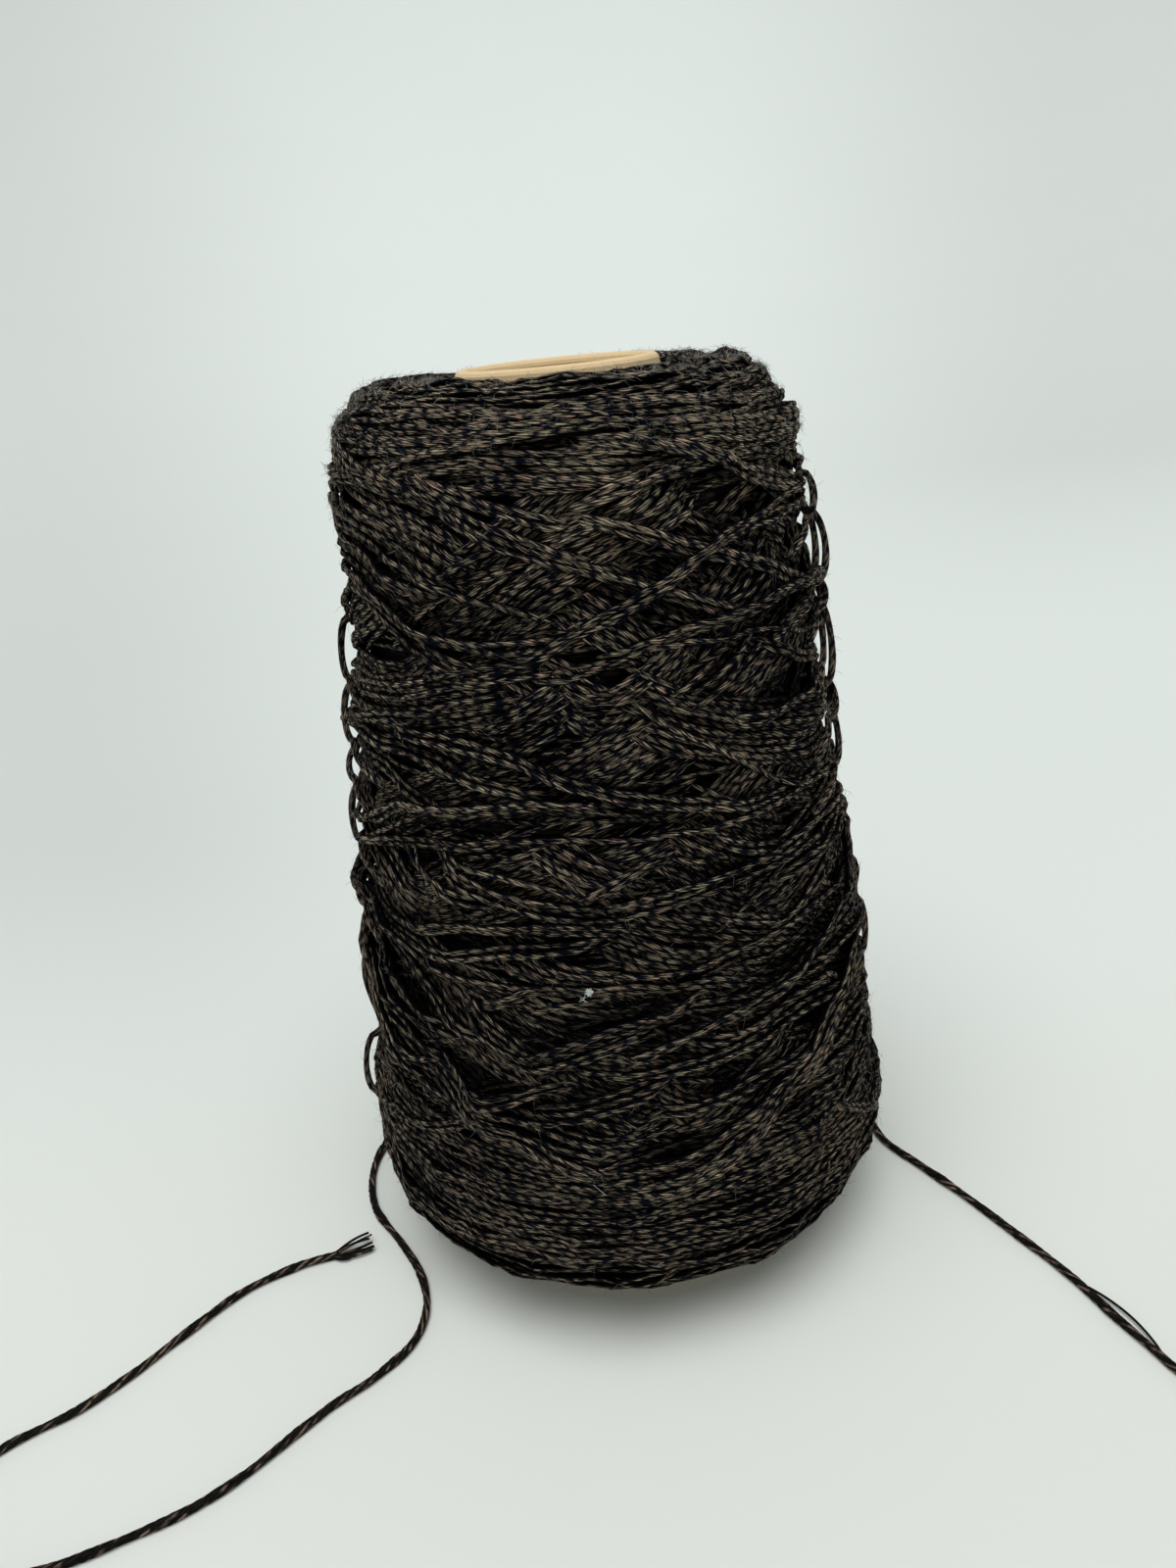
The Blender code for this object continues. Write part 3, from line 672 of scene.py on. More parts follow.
# ---------------------------------------------------------------- the wound body's form


def gone_along(points):
    """The distance gone at each point of a line."""
    return np.concatenate([[0.0], np.cumsum(np.linalg.norm(np.diff(points, axis=0), axis=1))])


def unit(vectors, least=0.0):
    """The vectors at a length of one."""
    return vectors / (np.linalg.norm(vectors, axis=1)[:, None] + least)


def ramp(value, start, width):
    """0 before a start and 1 past a width from it. A width below 0 goes the other way."""
    return np.clip((value - start) / width, 0.0, 1.0)


def from_front(angle):
    """The angle from the front, from -180 to 180 degrees."""
    return (angle + 180.0) % 360.0 - 180.0


def smooth_curve(points, steps=24):
    """Points along a Catmull-Rom curve through the given points."""
    given = np.array(points, dtype=float)
    padded = np.vstack([2.0 * given[0] - given[1], given, 2.0 * given[-1] - given[-2]])
    share = np.linspace(0.0, 1.0, steps, endpoint=False)[:, None]
    pieces = []
    for i in range(len(given) - 1):
        p0, p1, p2, p3 = padded[i : i + 4]
        slope = (p2 - p0) * share + (2.0 * p0 - 5.0 * p1 + 4.0 * p2 - p3) * share**2
        bend = (3.0 * p1 - p0 - 3.0 * p2 + p3) * share**3
        pieces.append(p1 + 0.5 * (slope + bend))
    return np.vstack([*pieces, given[-1:]])


def evenly(points, step):
    """The same line with its points an even step apart."""
    along = gone_along(points)
    wanted = np.linspace(0.0, along[-1], max(2, int(round(along[-1] / step)) + 1))
    return np.column_stack([np.interp(wanted, along, points[:, k]) for k in range(points.shape[1])])


class WoundForm:
    """The outer form that the turns lie on."""

    def __init__(self):
        line = evenly(smooth_curve(FORM), 0.25)
        along = gone_along(line)
        waist = np.interp(WAIST_HEIGHT, line[:, 1], along)
        self.run = along - waist + WAIST_HEIGHT
        self.radius, self.height = line[:, 0], line[:, 1]
        slope = unit(np.gradient(line, axis=0))
        self.out, self.up = slope[:, 1], -slope[:, 0]

    def radius_at(self, run):
        """The form's radius at a run up the side."""
        return np.interp(run, self.run, self.radius)

    def seat(self, angle, run, lift):
        """Points in millimetres, from the angle, the run and the lift off the form."""
        radius, height = self.radius_at(run), np.interp(run, self.run, self.height)
        out, up = np.interp(run, self.run, self.out), np.interp(run, self.run, self.up)
        turn = np.radians(angle)
        barrel = ramp(height, *FOOT_TO_BARREL) * ramp(height, *BARREL_TO_NOSE)
        shoulder = ramp(height, *SHOULDER_UP) * ramp(radius, *SHOULDER_OUT)
        bulges = np.sin(3.0 * turn + height / 17.0) + np.sin(2.0 * turn - height / 29.0 + 1.0)
        fullness = np.where(np.sin(turn) < 0.0, LEFT_FULLNESS, RIGHT_FULLNESS) * np.abs(np.sin(turn)) ** 1.5
        off = lift + BULGE * barrel * bulges + fullness * shoulder
        radius, height = radius + off * out, height + off * up
        return np.stack([radius * np.sin(turn), -radius * np.cos(turn), height], axis=-1)


def clear_of_cone(points):
    """The points, moved out where they would lie in the pasteboard cone."""
    radius = np.hypot(points[:, 0], points[:, 1])
    cone = CONE_BASE_RADIUS + (CONE_NOSE_RADIUS - CONE_BASE_RADIUS) * points[:, 2] / CONE_HEIGHT
    share = np.maximum(1.0, (cone + CONE_CLEARANCE) / radius)
    return points * np.stack([share, share, np.ones_like(share)], axis=1)


# ---------------------------------------------------------------- laying the turns


def taut(support, bend_radius):
    """The lift of a strand pulled over its support: it bridges hollows and hugs the round body."""
    place = np.arange(len(support)) * STEP
    sag = np.cumsum(np.cumsum(STEP / bend_radius)) * STEP
    heights = (support - sag).tolist()
    kept = []
    for i, y in enumerate(heights):
        while len(kept) > 1:
            a, b = kept[-2], kept[-1]
            if (heights[b] - heights[a]) * (i - a) <= (y - heights[a]) * (b - a):
                kept.pop()
            else:
                break
        kept.append(i)
    return np.interp(place, place[kept], np.array(heights)[kept]) + sag


def packed_down(lift):
    """The lift of turns that lie deep, pressed together by what was wound over them."""
    return np.where(lift < PRESSED_BELOW, PRESSED_BELOW + PRESSED_SHARE * (lift - PRESSED_BELOW), lift)


def pulled_down(lift):
    """The lift of turns that lie over many others, pulled down by their own tension."""
    return np.where(lift > HIGH_ABOVE, HIGH_ABOVE + HIGH_SHARE * (lift - HIGH_ABOVE), lift)


def at_the_sides(angle):
    """1 on the left and right sides, and 0 on the front and the back."""
    return 1.0 - ramp(np.abs(np.abs(from_front(angle)) - SIDE_ANGLE), *SIDE_EDGE)


def window_mean(values, half, axis):
    """The running mean along one axis, over a padded array."""
    total = np.insert(np.cumsum(values, axis=axis), 0, 0.0, axis=axis)
    size = 2 * half + 1
    ahead = np.take(total, np.arange(size, total.shape[axis]), axis=axis)
    behind = np.take(total, np.arange(0, total.shape[axis] - size), axis=axis)
    return (ahead - behind) / size


class Pile:
    """The turns laid so far, and how high they stand over the form."""

    def __init__(self, sizes):
        self.form = WoundForm()
        self.random = np.random.default_rng(SEED)
        self.width = sizes.turn_width / MM
        self.thickness = sizes.turn_thickness / MM
        rows = int((RUN_HIGH - RUN_LOW) / CELL_RUN)
        self.top = np.full((rows, CELLS_ROUND), CORE_LIFT)
        self.groups = {}

    def strands(self):
        """Every strand laid so far."""
        return [strand for strands in self.groups.values() for strand in strands]

    def cells(self, angle, run):
        """The map's cell indices at these places."""
        column = np.round(angle * (CELLS_ROUND / 360.0)).astype(int) % CELLS_ROUND
        row = np.clip(((run - RUN_LOW) / CELL_RUN).astype(int), 0, self.top.shape[0] - 1)
        return row, column

    def along_surface(self, line):
        """The distance gone at each point of a line of angle and run."""
        scale = math.pi / 180.0 * self.form.radius_at(line[:, 1])
        step = np.hypot(np.diff(line[:, 0]) * 0.5 * (scale[1:] + scale[:-1]), np.diff(line[:, 1]))
        return np.concatenate([[0.0], np.cumsum(step)])

    def route(self, points, straighten=0.0):
        """A route of angle and run as even steps along the surface, straightened over a distance."""
        fine = smooth_curve(points, 12)
        along = self.along_surface(fine)
        wanted = np.arange(0.0, along[-1], STEP)
        line = np.column_stack([np.interp(wanted, along, fine[:, k]) for k in (0, 1)])
        half = min(int(0.5 * straighten / STEP), len(line) // 2 - 1)
        if half > 1:
            before, after = 2.0 * line[0] - line[half:0:-1], 2.0 * line[-1] - line[-2 : -half - 2 : -1]
            for _ in range(2):
                line = window_mean(np.vstack([before, line, after]), half, 0)
        return line[:, 0], line[:, 1]

    def beside(self, angle, run, aside):
        """The route moved sideways over the surface by a distance at each point."""
        scale = math.pi / 180.0 * np.maximum(self.form.radius_at(run), 10.0)
        over, up = np.gradient(angle) * scale, np.gradient(run)
        length = np.hypot(over, up) + 1e-9
        return angle - up / length * aside / scale, run + over / length * aside

    def wander(self, count, reach, wave):
        """A slow sideways wander along a strand."""
        place = np.arange(count) * STEP
        total = np.zeros(count)
        for share in (1.0, 0.6, 0.35):
            length = wave * share * self.random.uniform(0.7, 1.4)
            phase = self.random.uniform(0.0, 2.0 * math.pi)
            total += share * np.sin(2.0 * math.pi * place / length + phase)
        return reach * total / 1.2

    def spread_peak(self, half_round, half_up, soften):
        """The highest lift near each cell, softened."""
        peak = self.top.copy()
        for axis, half in ((1, half_round), (0, half_up)):
            peak = np.maximum.reduce([np.roll(peak, shift, axis) for shift in range(-half, half + 1)])
        for wide in soften:
            peak = window_mean(np.pad(peak, ((wide, wide), (0, 0)), mode="edge"), wide, 0)
            peak = window_mean(np.pad(peak, ((0, 0), (wide, wide)), mode="wrap"), wide, 1)
        return peak

    def level(self):
        """Sink the pile, so that its outside keeps the body's form, and lies low under the end turns."""
        run = RUN_LOW + CELL_RUN * (np.arange(self.top.shape[0]) + 0.5)
        ends = ramp(run, *FOOT_LEVEL) + ramp(run, *SHOULDER_LEVEL)
        wanted = PEAK_LIFT + (EDGE_LIFT - PEAK_LIFT) * ends
        sunk = KEPT_LEVEL * (self.spread_peak(*LEVEL_SPREAD) - wanted[:, None])
        for strand in self.strands():
            sunk_here = self.read(sunk, strand["angle"], strand["run"])
            strand["lift"] = packed_down(strand["lift"] - sunk_here)
        least = np.where(ends > 0.5, EDGE_LIFT - 0.3, -9.0)[:, None]
        self.top = np.maximum(packed_down(self.top - sunk), least)

    def press_high(self):
        """Press the highest crossings down, as the yarn's pull does, and keep the back below the rim."""
        for strand in self.strands():
            behind = ramp(np.abs(from_front(strand["angle"])), *BACK_ANGLE) * ramp(strand["run"], *RIM_RUN)
            lift = pulled_down(strand["lift"])
            strand["lift"] = lift - behind * np.maximum(0.0, lift - RIM_LIFT)
        self.top = pulled_down(self.top)

    def read(self, chart, angle, run):
        """A chart's value at these places."""
        column = (np.asarray(angle) * (CELLS_ROUND / 360.0)) % CELLS_ROUND
        row = np.clip((np.asarray(run) - RUN_LOW) / CELL_RUN - 0.5, 0.0, self.top.shape[0] - 1.001)
        c0, r0 = np.floor(column).astype(int) % CELLS_ROUND, np.floor(row).astype(int)
        c1, fc, fr = (c0 + 1) % CELLS_ROUND, column - np.floor(column), row - r0
        low = chart[r0, c0] * (1.0 - fc) + chart[r0, c1] * fc
        high = chart[r0 + 1, c0] * (1.0 - fc) + chart[r0 + 1, c1] * fc
        return low * (1.0 - fr) + high * fr

    def lay(
        self, group, angle, run, slack=SLACK_RADIUS, dive=True, lift=None, standing=False, size=1.0, settle=0
    ):
        """Lay one strand along a line of even steps, and keep it for its group.

        Its ends dive under, its lift is pulled taut over the pile unless it is given, and it is left
        out of the pile's height when it stands off it.
        """
        count = len(angle)
        if count < SHORTEST:
            return
        width, thickness = self.width * size, self.thickness * size
        places = [self.beside(angle, run, width * share) for share in ACROSS]
        cells = [self.cells(*place) for place in places]
        support = np.maximum.reduce([self.top[cell] for cell in cells[1:4]])
        if lift is None:
            bend_radius = slack + (min(slack, SIDE_RADIUS) - slack) * at_the_sides(angle)
            lift = taut(support, bend_radius) + 0.5 * thickness - settle
        if dive:
            reach = int(DIVE_REACH / STEP)
            sink = np.append(0.5 + 0.5 * np.cos(np.linspace(0.0, math.pi, reach)), 0.0)
            from_end = np.minimum(np.arange(count), np.arange(count)[::-1])
            lift = lift - END_DIVE * sink[np.minimum(from_end, reach)]
        if not standing:
            for share, cell in zip(ACROSS, cells):
                crown = 0.5 * thickness * math.sqrt(1.0 - (share / CROWN_REACH) ** 2)
                np.maximum.at(self.top, cell, lift + crown - CROWN_PRESS)
        tone = self.random.uniform(0.0, 1.0)
        start = self.random.uniform(0.0, 1.0)
        strand = {"angle": angle, "run": run, "lift": lift, "size": size, "tone": tone, "start": start}
        self.groups.setdefault(group, []).append(strand)

    def bundle(
        self, group, points, strands, spacing=0.95, reach=0.22, fan=0, ragged=6, scale=1, straighten=0, **how
    ):
        """Lay strands side by side along one route, each with its own wander."""
        angle, run = self.route(points, straighten)
        count = len(angle)
        order = self.random.permutation(strands)
        spread = 1.0 + fan * (np.linspace(0.0, 1.0, count) - 0.5)
        drift = self.wander(count, 1.6 * reach, 60.0)
        for j in order:
            aside = (j - 0.5 * (strands - 1)) * spacing * self.width * spread + drift
            aside = aside + self.wander(count, reach, 26.0) + self.wander(count, 0.5 * reach, 9.0)
            beside_angle, beside_run = self.beside(angle, run, aside)
            first = int(self.random.uniform(0.0, ragged) / STEP)
            last = count - int(self.random.uniform(0.0, ragged) / STEP)
            size = scale * self.random.uniform(0.9, 1.1)
            self.lay(group, beside_angle[first:last], beside_run[first:last], size=size, **how)


def run_on(points, random, far=70.0):
    """Carry a front bundle's route on round the side, where it ends at the side of the front."""
    points = list(points)
    for end, near in ((0, 1), (-1, -2)):
        (a0, s0), (a1, s1) = points[end], points[near]
        if abs(a0) < FRONT_EDGE:
            continue
        slope = 0.8 * float(np.clip((s0 - s1) / (a0 - a1), -0.28, 0.28))
        further = math.copysign(1.0, a0) * random.uniform(0.35, 1.0) * far
        bend = random.uniform(-0.06, 0.06)
        extra = [(a0 + further * x, s0 + further * x * (slope + bend * x)) for x in (0.35, 0.7, 1.0)]
        points = extra[::-1] + points if end == 0 else points + extra
    return points


def scattered(k, step, low, width):
    """A place in a range, which the places of one k after another fill evenly."""
    return low + (k * step % 1.0) * width


def slanted(angle, run, span, slope, shares, wave, low=-np.inf, high=np.inf):
    """A route that climbs as it goes round, with a wave, kept between two runs."""
    climbed = run + slope * span * (shares - 0.5) + wave
    return np.column_stack([angle + span * (shares - 0.5), np.clip(climbed, low, high)])


def lay_ground(pile):
    """The first turns: close together, the whole way round and up."""
    pitch, high, tall = pile.width * 1.02, 180.0, 42.0
    for band, start in enumerate(np.arange(2.0, high, tall)):
        slope = 0.02 if band % 2 else -0.02
        for run in start + pitch * np.arange(int(tall / pitch)):
            if run > high:
                break
            phase = pile.random.uniform(0.0, 360.0)
            points = [(phase + turn, run + slope * (turn - 180.0)) for turn in range(0, 361, 30)]
            pile.bundle("ground_turns", points, 1, reach=0.12, ragged=0.1, dive=False)


def lay_crossing(pile):
    """Buried ribbons of both hands that show through the gaps."""
    random = pile.random
    for k in range(CROSSING_RIBBONS):
        angle, run = (k * GOLDEN_ANGLE) % 360.0, scattered(k, GOLDEN, 40.0, 112.0)
        span = random.uniform(50.0, 90.0)
        slope = (1.0 if k % 2 else -1.0) * random.uniform(0.26, 0.44)
        wave = 2.0 * np.sin(5.0 * QUARTERS + k)
        points = slanted(angle, run, span, slope, QUARTERS, wave, 24.0, 164.0)
        pile.bundle("crossing_turns", points, int(random.integers(3, 7)), settle=0.1)


def lay_fields(pile):
    """Wide fields of close parallel strands all round, of both hands, under the bundles."""
    random = pile.random
    for k in range(FIELDS):
        angle, run = (k * GOLDEN_ANGLE + 20.0) % 360.0, scattered(k, PLASTIC, 47.0, 103.0)
        span = random.uniform(32.0, 60.0)
        slope = (1.0 if (k // 2) % 2 else -1.0) * random.uniform(0.22, 0.5)
        bow = random.uniform(-1.5, 1.5)
        wave = bow * (1.0 - 4.0 * (QUARTERS - 0.5) ** 2)
        points = slanted(angle, run, span, slope, QUARTERS, wave, 30.0, 160.0)
        pile.bundle("field_turns", points, int(random.integers(6, 11)), 0.88, reach=0.1, settle=0.15)


def lay_sides_and_back(pile):
    """Ribbons of both hands round the sides and back, in clusters as the traverse lays them."""
    random = pile.random
    for k in range(SIDE_RIBBONS):
        angle, run = 180.0 + 110.0 * scattered(k, GOLDEN, -1.0, 2.0), scattered(k, PLASTIC, 34.0, 122.0)
        span = random.uniform(60.0, 130.0)
        slope = (1.0 if k % 2 else -1.0) * (0.08 + 0.16 * random.uniform(0.0, 1.0) ** 1.5)
        bow = random.uniform(-3.0, 3.0)
        shares = np.linspace(0.0, 1.0, 6)
        points = slanted(angle, run, span, slope, shares, bow * np.sin(math.pi * shares))
        points = points[np.abs(from_front(points[:, 0])) > 68.0]
        if len(points) > 2:
            strands = int(random.choice([2, 2, 3, 3, 4, 5, 8]))
            fan = random.uniform(-0.3, 0.3)
            pile.bundle("side_and_back_turns", points, strands, fan=fan, slack=TAUT_RADIUS)


def lay_rows(pile, group, rows, **how):
    """Lay bundles of a table, carried on round the sides."""
    for strands, spacing, route in rows:
        line = run_on(route, pile.random)
        pile.bundle(group, line, strands, 0.93 * spacing, reach=0.18, straighten=STRAIGHTEN, **how)


def lay_front(pile):
    """The front, bundle by bundle."""
    lay_rows(pile, "front_field_turns", FRONT_FIELDS)
    bundles = [row for row in FRONT_BUNDLES if not at_an_end(row)]
    lay_rows(pile, "front_turns", bundles, slack=TAUT_RADIUS)


def at_an_end(row):
    """Whether a bundle lies over the near-level turns of the foot or the shoulder."""
    runs = [run for _, run in row[2]]
    return min(runs) < FOOT_RUN or max(runs) > SHOULDER_RUN


def lay_over_ends(pile):
    """The bundles that cross the foot and the shoulder, over the near-level turns there."""
    lay_rows(pile, "front_turns", TOP_BUNDLES + [row for row in FRONT_BUNDLES if at_an_end(row)], settle=0.55)


def lay_edge(pile, group, low, high, strands, ripple):
    """Near-level turns, close and a little wavy, as they lie at the two ends of the traverse."""
    random = pile.random
    for k in range(EDGE_RIBBONS):
        angle, run = scattered(k, PLASTIC_SQUARED, 0.0, 360.0), scattered(k, PLASTIC, low, high - low)
        span, slope = random.uniform(50.0, 130.0), random.uniform(-0.05, 0.05)
        shares = np.linspace(0.0, 1.0, 7)
        wave = ripple * np.sin(shares * span / 14.0 + angle)
        points = slanted(angle, run, span, slope, shares, wave, low - 2.0, high + 2.0)
        count = int(random.integers(strands[0], strands[1] + 1))
        pile.bundle(group, points, count, 0.84, reach=0.2, slack=9.0, settle=0.35, scale=END_TURN_SIZE)


def lay_in_hollows(pile):
    """Short lengths of the turns below, where they show in the open hollows between the bundles."""
    random = pile.random
    near = pile.spread_peak(*NEAR_SPREAD)
    for k in range(HOLLOW_TRIES):
        angle, run = (k * GOLDEN_ANGLE) % 360.0, scattered(k, PLASTIC, 40.0, 112.0)
        slope = random.uniform(0.1, 0.4) * (1.0 if k % 2 else -1.0)
        line = pile.route([(angle + span, run + slope * span) for span in (-12.0, 0.0, 12.0)])
        top = pile.read(pile.top, *line)
        hollow = np.flatnonzero(pile.read(near, *line) - top > HOLLOW_DEPTH)
        if len(hollow) < 8:
            continue
        first, last = max(0, hollow[0] - 6), min(len(top), hollow[-1] + 7)
        lift = np.full(last - first, np.percentile(top[hollow], 25.0) + 0.45 * pile.thickness)
        pile.lay("crossing_turns", line[0][first:last], line[1][first:last], dive=False, lift=lift)


def lay_loops(pile):
    """Slack loops that stand off the sides, and short ones beside the rim."""
    for angle, run, height, behind, before, stand_off in LOOPS:
        hand, half = math.copysign(1.0, angle), 0.5 * height
        turn = np.linspace(0.0, math.pi, 13)
        bend = np.column_stack([angle + hand * 6.0 * np.cos(turn), run + half * np.cos(turn)])
        upper = [(angle + hand * (6.0 + behind * x), run + half + 2.0 * x) for x in (1.0, 0.5)]
        lower = [(angle - hand * (6.0 + before * x), run - half - 4.0 * x) for x in (0.4, 1.0)]
        points = np.vstack([upper, bend, lower])
        line = pile.route(points)
        lift = LOOP_SEAT + (stand_off - LOOP_SEAT) * np.sin(turn) ** 0.8
        lift = np.concatenate([[-0.6, 0.0], lift, [0.6, -0.4]])
        lift = np.interp(np.arange(len(line[0])) * STEP, pile.along_surface(points), lift)
        pile.lay("standing_loops", *line, dive=False, lift=lift, standing=True, size=LOOP_SIZE)
    for angle, run, half_span, height in RIM_LOOPS:
        line = pile.route([(angle + half_span * x, run + 0.8 * x) for x in np.linspace(-1.0, 1.0, 7)])
        arch = height * np.cos(0.5 * math.pi * np.linspace(-1.0, 1.0, len(line[0]))) ** 1.3
        lift = pile.read(pile.top, *line).mean() + arch
        pile.lay("standing_loops", *line, lift=lift, standing=True, size=LOOP_SIZE)


def laid_pile():
    """The laid-up yarn, from the first turns to the slack loops."""
    pile = Pile(bpy.context.scene.cone_yarn_sizes)
    for lay in (lay_ground, lay_crossing, lay_fields, lay_sides_and_back, lay_front):
        lay(pile)
    pile.level()
    lay_edge(pile, "foot_turns", -2.0, 42.0, (4, 6), 0.5)
    lay_edge(pile, "shoulder_turns", 155.0, 182.7, (2, 4), 0.4)
    lay_over_ends(pile)
    lay_in_hollows(pile)
    pile.press_high()
    lay_loops(pile)
    pile.near = pile.spread_peak(*NEAR_SPREAD)
    return pile


MADE = {}


def made_once(maker, *given):
    """What a maker makes, worked out once and shared."""
    if maker not in MADE:
        MADE[maker] = maker(*given)
    return MADE[maker]


# ---------------------------------------------------------------- meshes of strands


Tube = namedtuple("Tube", "centres outward width thickness tone start depth", defaults=(0.0, 0.0))


def ring_frames(centres, outward):
    """Unit vectors across and off the surface at each point of a line."""
    along = unit(np.gradient(centres, axis=0), 1e-12)
    across = unit(np.cross(along, outward), 1e-12)
    return across, np.cross(across, along)


def cell_corners(u0, u1, v0, v1):
    """The texture corners of every cell, from the ends of its row and the sides of its column."""
    u0, u1, v0, v1 = np.broadcast_arrays(u0, u1, v0, v1)
    return np.stack([u0, v0, u0, v1, u1, v1, u1, v0], axis=-1).reshape(-1, 2)


def placed(name, data):
    """A new object in the scene."""
    thing = bpy.data.objects.new(name, data)
    bpy.context.scene.collection.objects.link(thing)
    return thing


def tubes_mesh(name, tubes, sides, twist):
    """One piece of many tubes. A tube's width and thickness are half sizes at each of its rings."""
    corners, quads, caps, uvs, tones, depths = [], [], [], [], [], []
    base = segments = 0
    side = np.arange(sides)
    share = side / sides
    cosine, sine = np.cos(2.0 * math.pi * share)[:, None], np.sin(2.0 * math.pi * share)[:, None]
    for tube in tubes:
        count = len(tube.centres)
        across, off = ring_frames(tube.centres, tube.outward)
        ring = tube.centres[:, None] + tube.width[:, None, None] * across[:, None] * cosine
        ring = ring + tube.thickness[:, None, None] * off[:, None] * sine
        corners.append(ring.reshape(-1, 3))
        rows = base + np.arange(count - 1)[:, None] * sides
        low, beside = rows + side, rows + (side + 1) % sides
        quads.append(np.stack([low, beside, beside + sides, low + sides], axis=-1).reshape(-1, 4))
        caps += [base + side[::-1], base + (count - 1) * sides + side]
        u = tube.start + gone_along(tube.centres) / twist
        uvs.append(cell_corners(u[:-1, None], u[1:, None], share, share + 1.0 / sides))
        tones.append(np.full(count * sides, tube.tone))
        depths.append(np.repeat(np.broadcast_to(tube.depth, count), sides))
        base += count * sides
        segments += count - 1
    corners = np.concatenate(corners) * MM
    quads, caps = np.concatenate(quads), np.concatenate(caps)
    cap_count = len(caps) // sides
    mesh = bpy.data.meshes.new(name)
    mesh.vertices.add(len(corners))
    mesh.vertices.foreach_set("co", corners.ravel())
    mesh.loops.add(quads.size + caps.size)
    mesh.loops.foreach_set("vertex_index", np.concatenate([quads.ravel(), caps]).astype(np.int32))
    mesh.polygons.add(len(quads) + cap_count)
    starts = np.concatenate([np.arange(len(quads)) * 4, quads.size + np.arange(cap_count) * sides])
    mesh.polygons.foreach_set("loop_start", starts.astype(np.int32))
    mesh.update(calc_edges=True)
    strand_uv = np.concatenate([*uvs, np.zeros((caps.size, 2))])
    for label, uv in (("Strand", strand_uv), ("OFBake", packed_strips(segments, sides, caps.size))):
        mesh.uv_layers.new(name=label).data.foreach_set("uv", uv.ravel())
    for label, values in (("tone", tones), ("depth", depths)):
        attribute = mesh.attributes.new(label, "FLOAT", "POINT")
        attribute.data.foreach_set("value", np.concatenate(values).astype(np.float32))
    mesh.uv_layers.active = mesh.uv_layers["Strand"]
    mesh.shade_smooth()
    return placed(name, mesh)


def packed_strips(segments, sides, cap_loops):
    """Every segment of every tube as a cell of its own row, unrolled, inside the unit square."""
    per_row = max(1, int(math.ceil(math.sqrt(segments * 0.9))))
    rows = int(math.ceil(segments / per_row)) + 1
    index = np.arange(segments)
    left = ((index % per_row) / per_row)[:, None]
    tall = 0.88 / rows / sides
    low = ((index // per_row + 0.06) / rows)[:, None] + np.arange(sides) * tall
    cells = cell_corners(left, left + 1.0 / per_row, low, low + tall)
    turn = 2.0 * math.pi * (np.arange(cap_loops) % sides) / sides
    spot = np.stack([0.5 + 0.2 * np.cos(turn) / rows, 1.0 - (0.5 - 0.2 * np.sin(turn)) / rows], axis=-1)
    return np.concatenate([cells, spot])


def strand_tubes(pile, group, every):
    """The group's strands as tubes in space."""
    tubes = []
    for strand in pile.groups[group]:
        picks = np.unique(np.append(np.arange(0, len(strand["angle"]), every), len(strand["angle"]) - 1))
        if picks[-1] - picks[-2] < every // 2:
            picks = np.delete(picks, -2)
        angle, run, lift = (strand[key][picks] for key in ("angle", "run", "lift"))
        # How deep the strand lies below its neighbours, which the finish darkens as painted shade; it is made
        # less at the sides as painted light, and below zero for the standing loops.
        depth = pile.read(pile.near, angle, run) - lift - 0.5 * pile.thickness
        depth = np.clip(depth - SIDE_LIT * at_the_sides(angle), -1.0, 4.0)
        if group == "standing_loops":
            depth = -1.0
        centres = pile.form.seat(angle, run, lift)
        outward = pile.form.seat(angle, run, lift + 1.0) - centres
        taper = 1.0 + 0.09 * np.sin(picks * STEP / 1.9 + 40.0 * strand["tone"])
        taper[0] = taper[-1] = 0.3
        half = 0.5 * strand["size"] * taper
        # The front bundles' tone is raised as painted light.
        tone = strand["tone"] + (FRONT_PAINTED_LIGHT if group == "front_turns" else 0.0)
        width, thickness = half * pile.width, half * pile.thickness
        tubes.append(Tube(clear_of_cone(centres), outward, width, thickness, tone, strand["start"], depth))
    return tubes


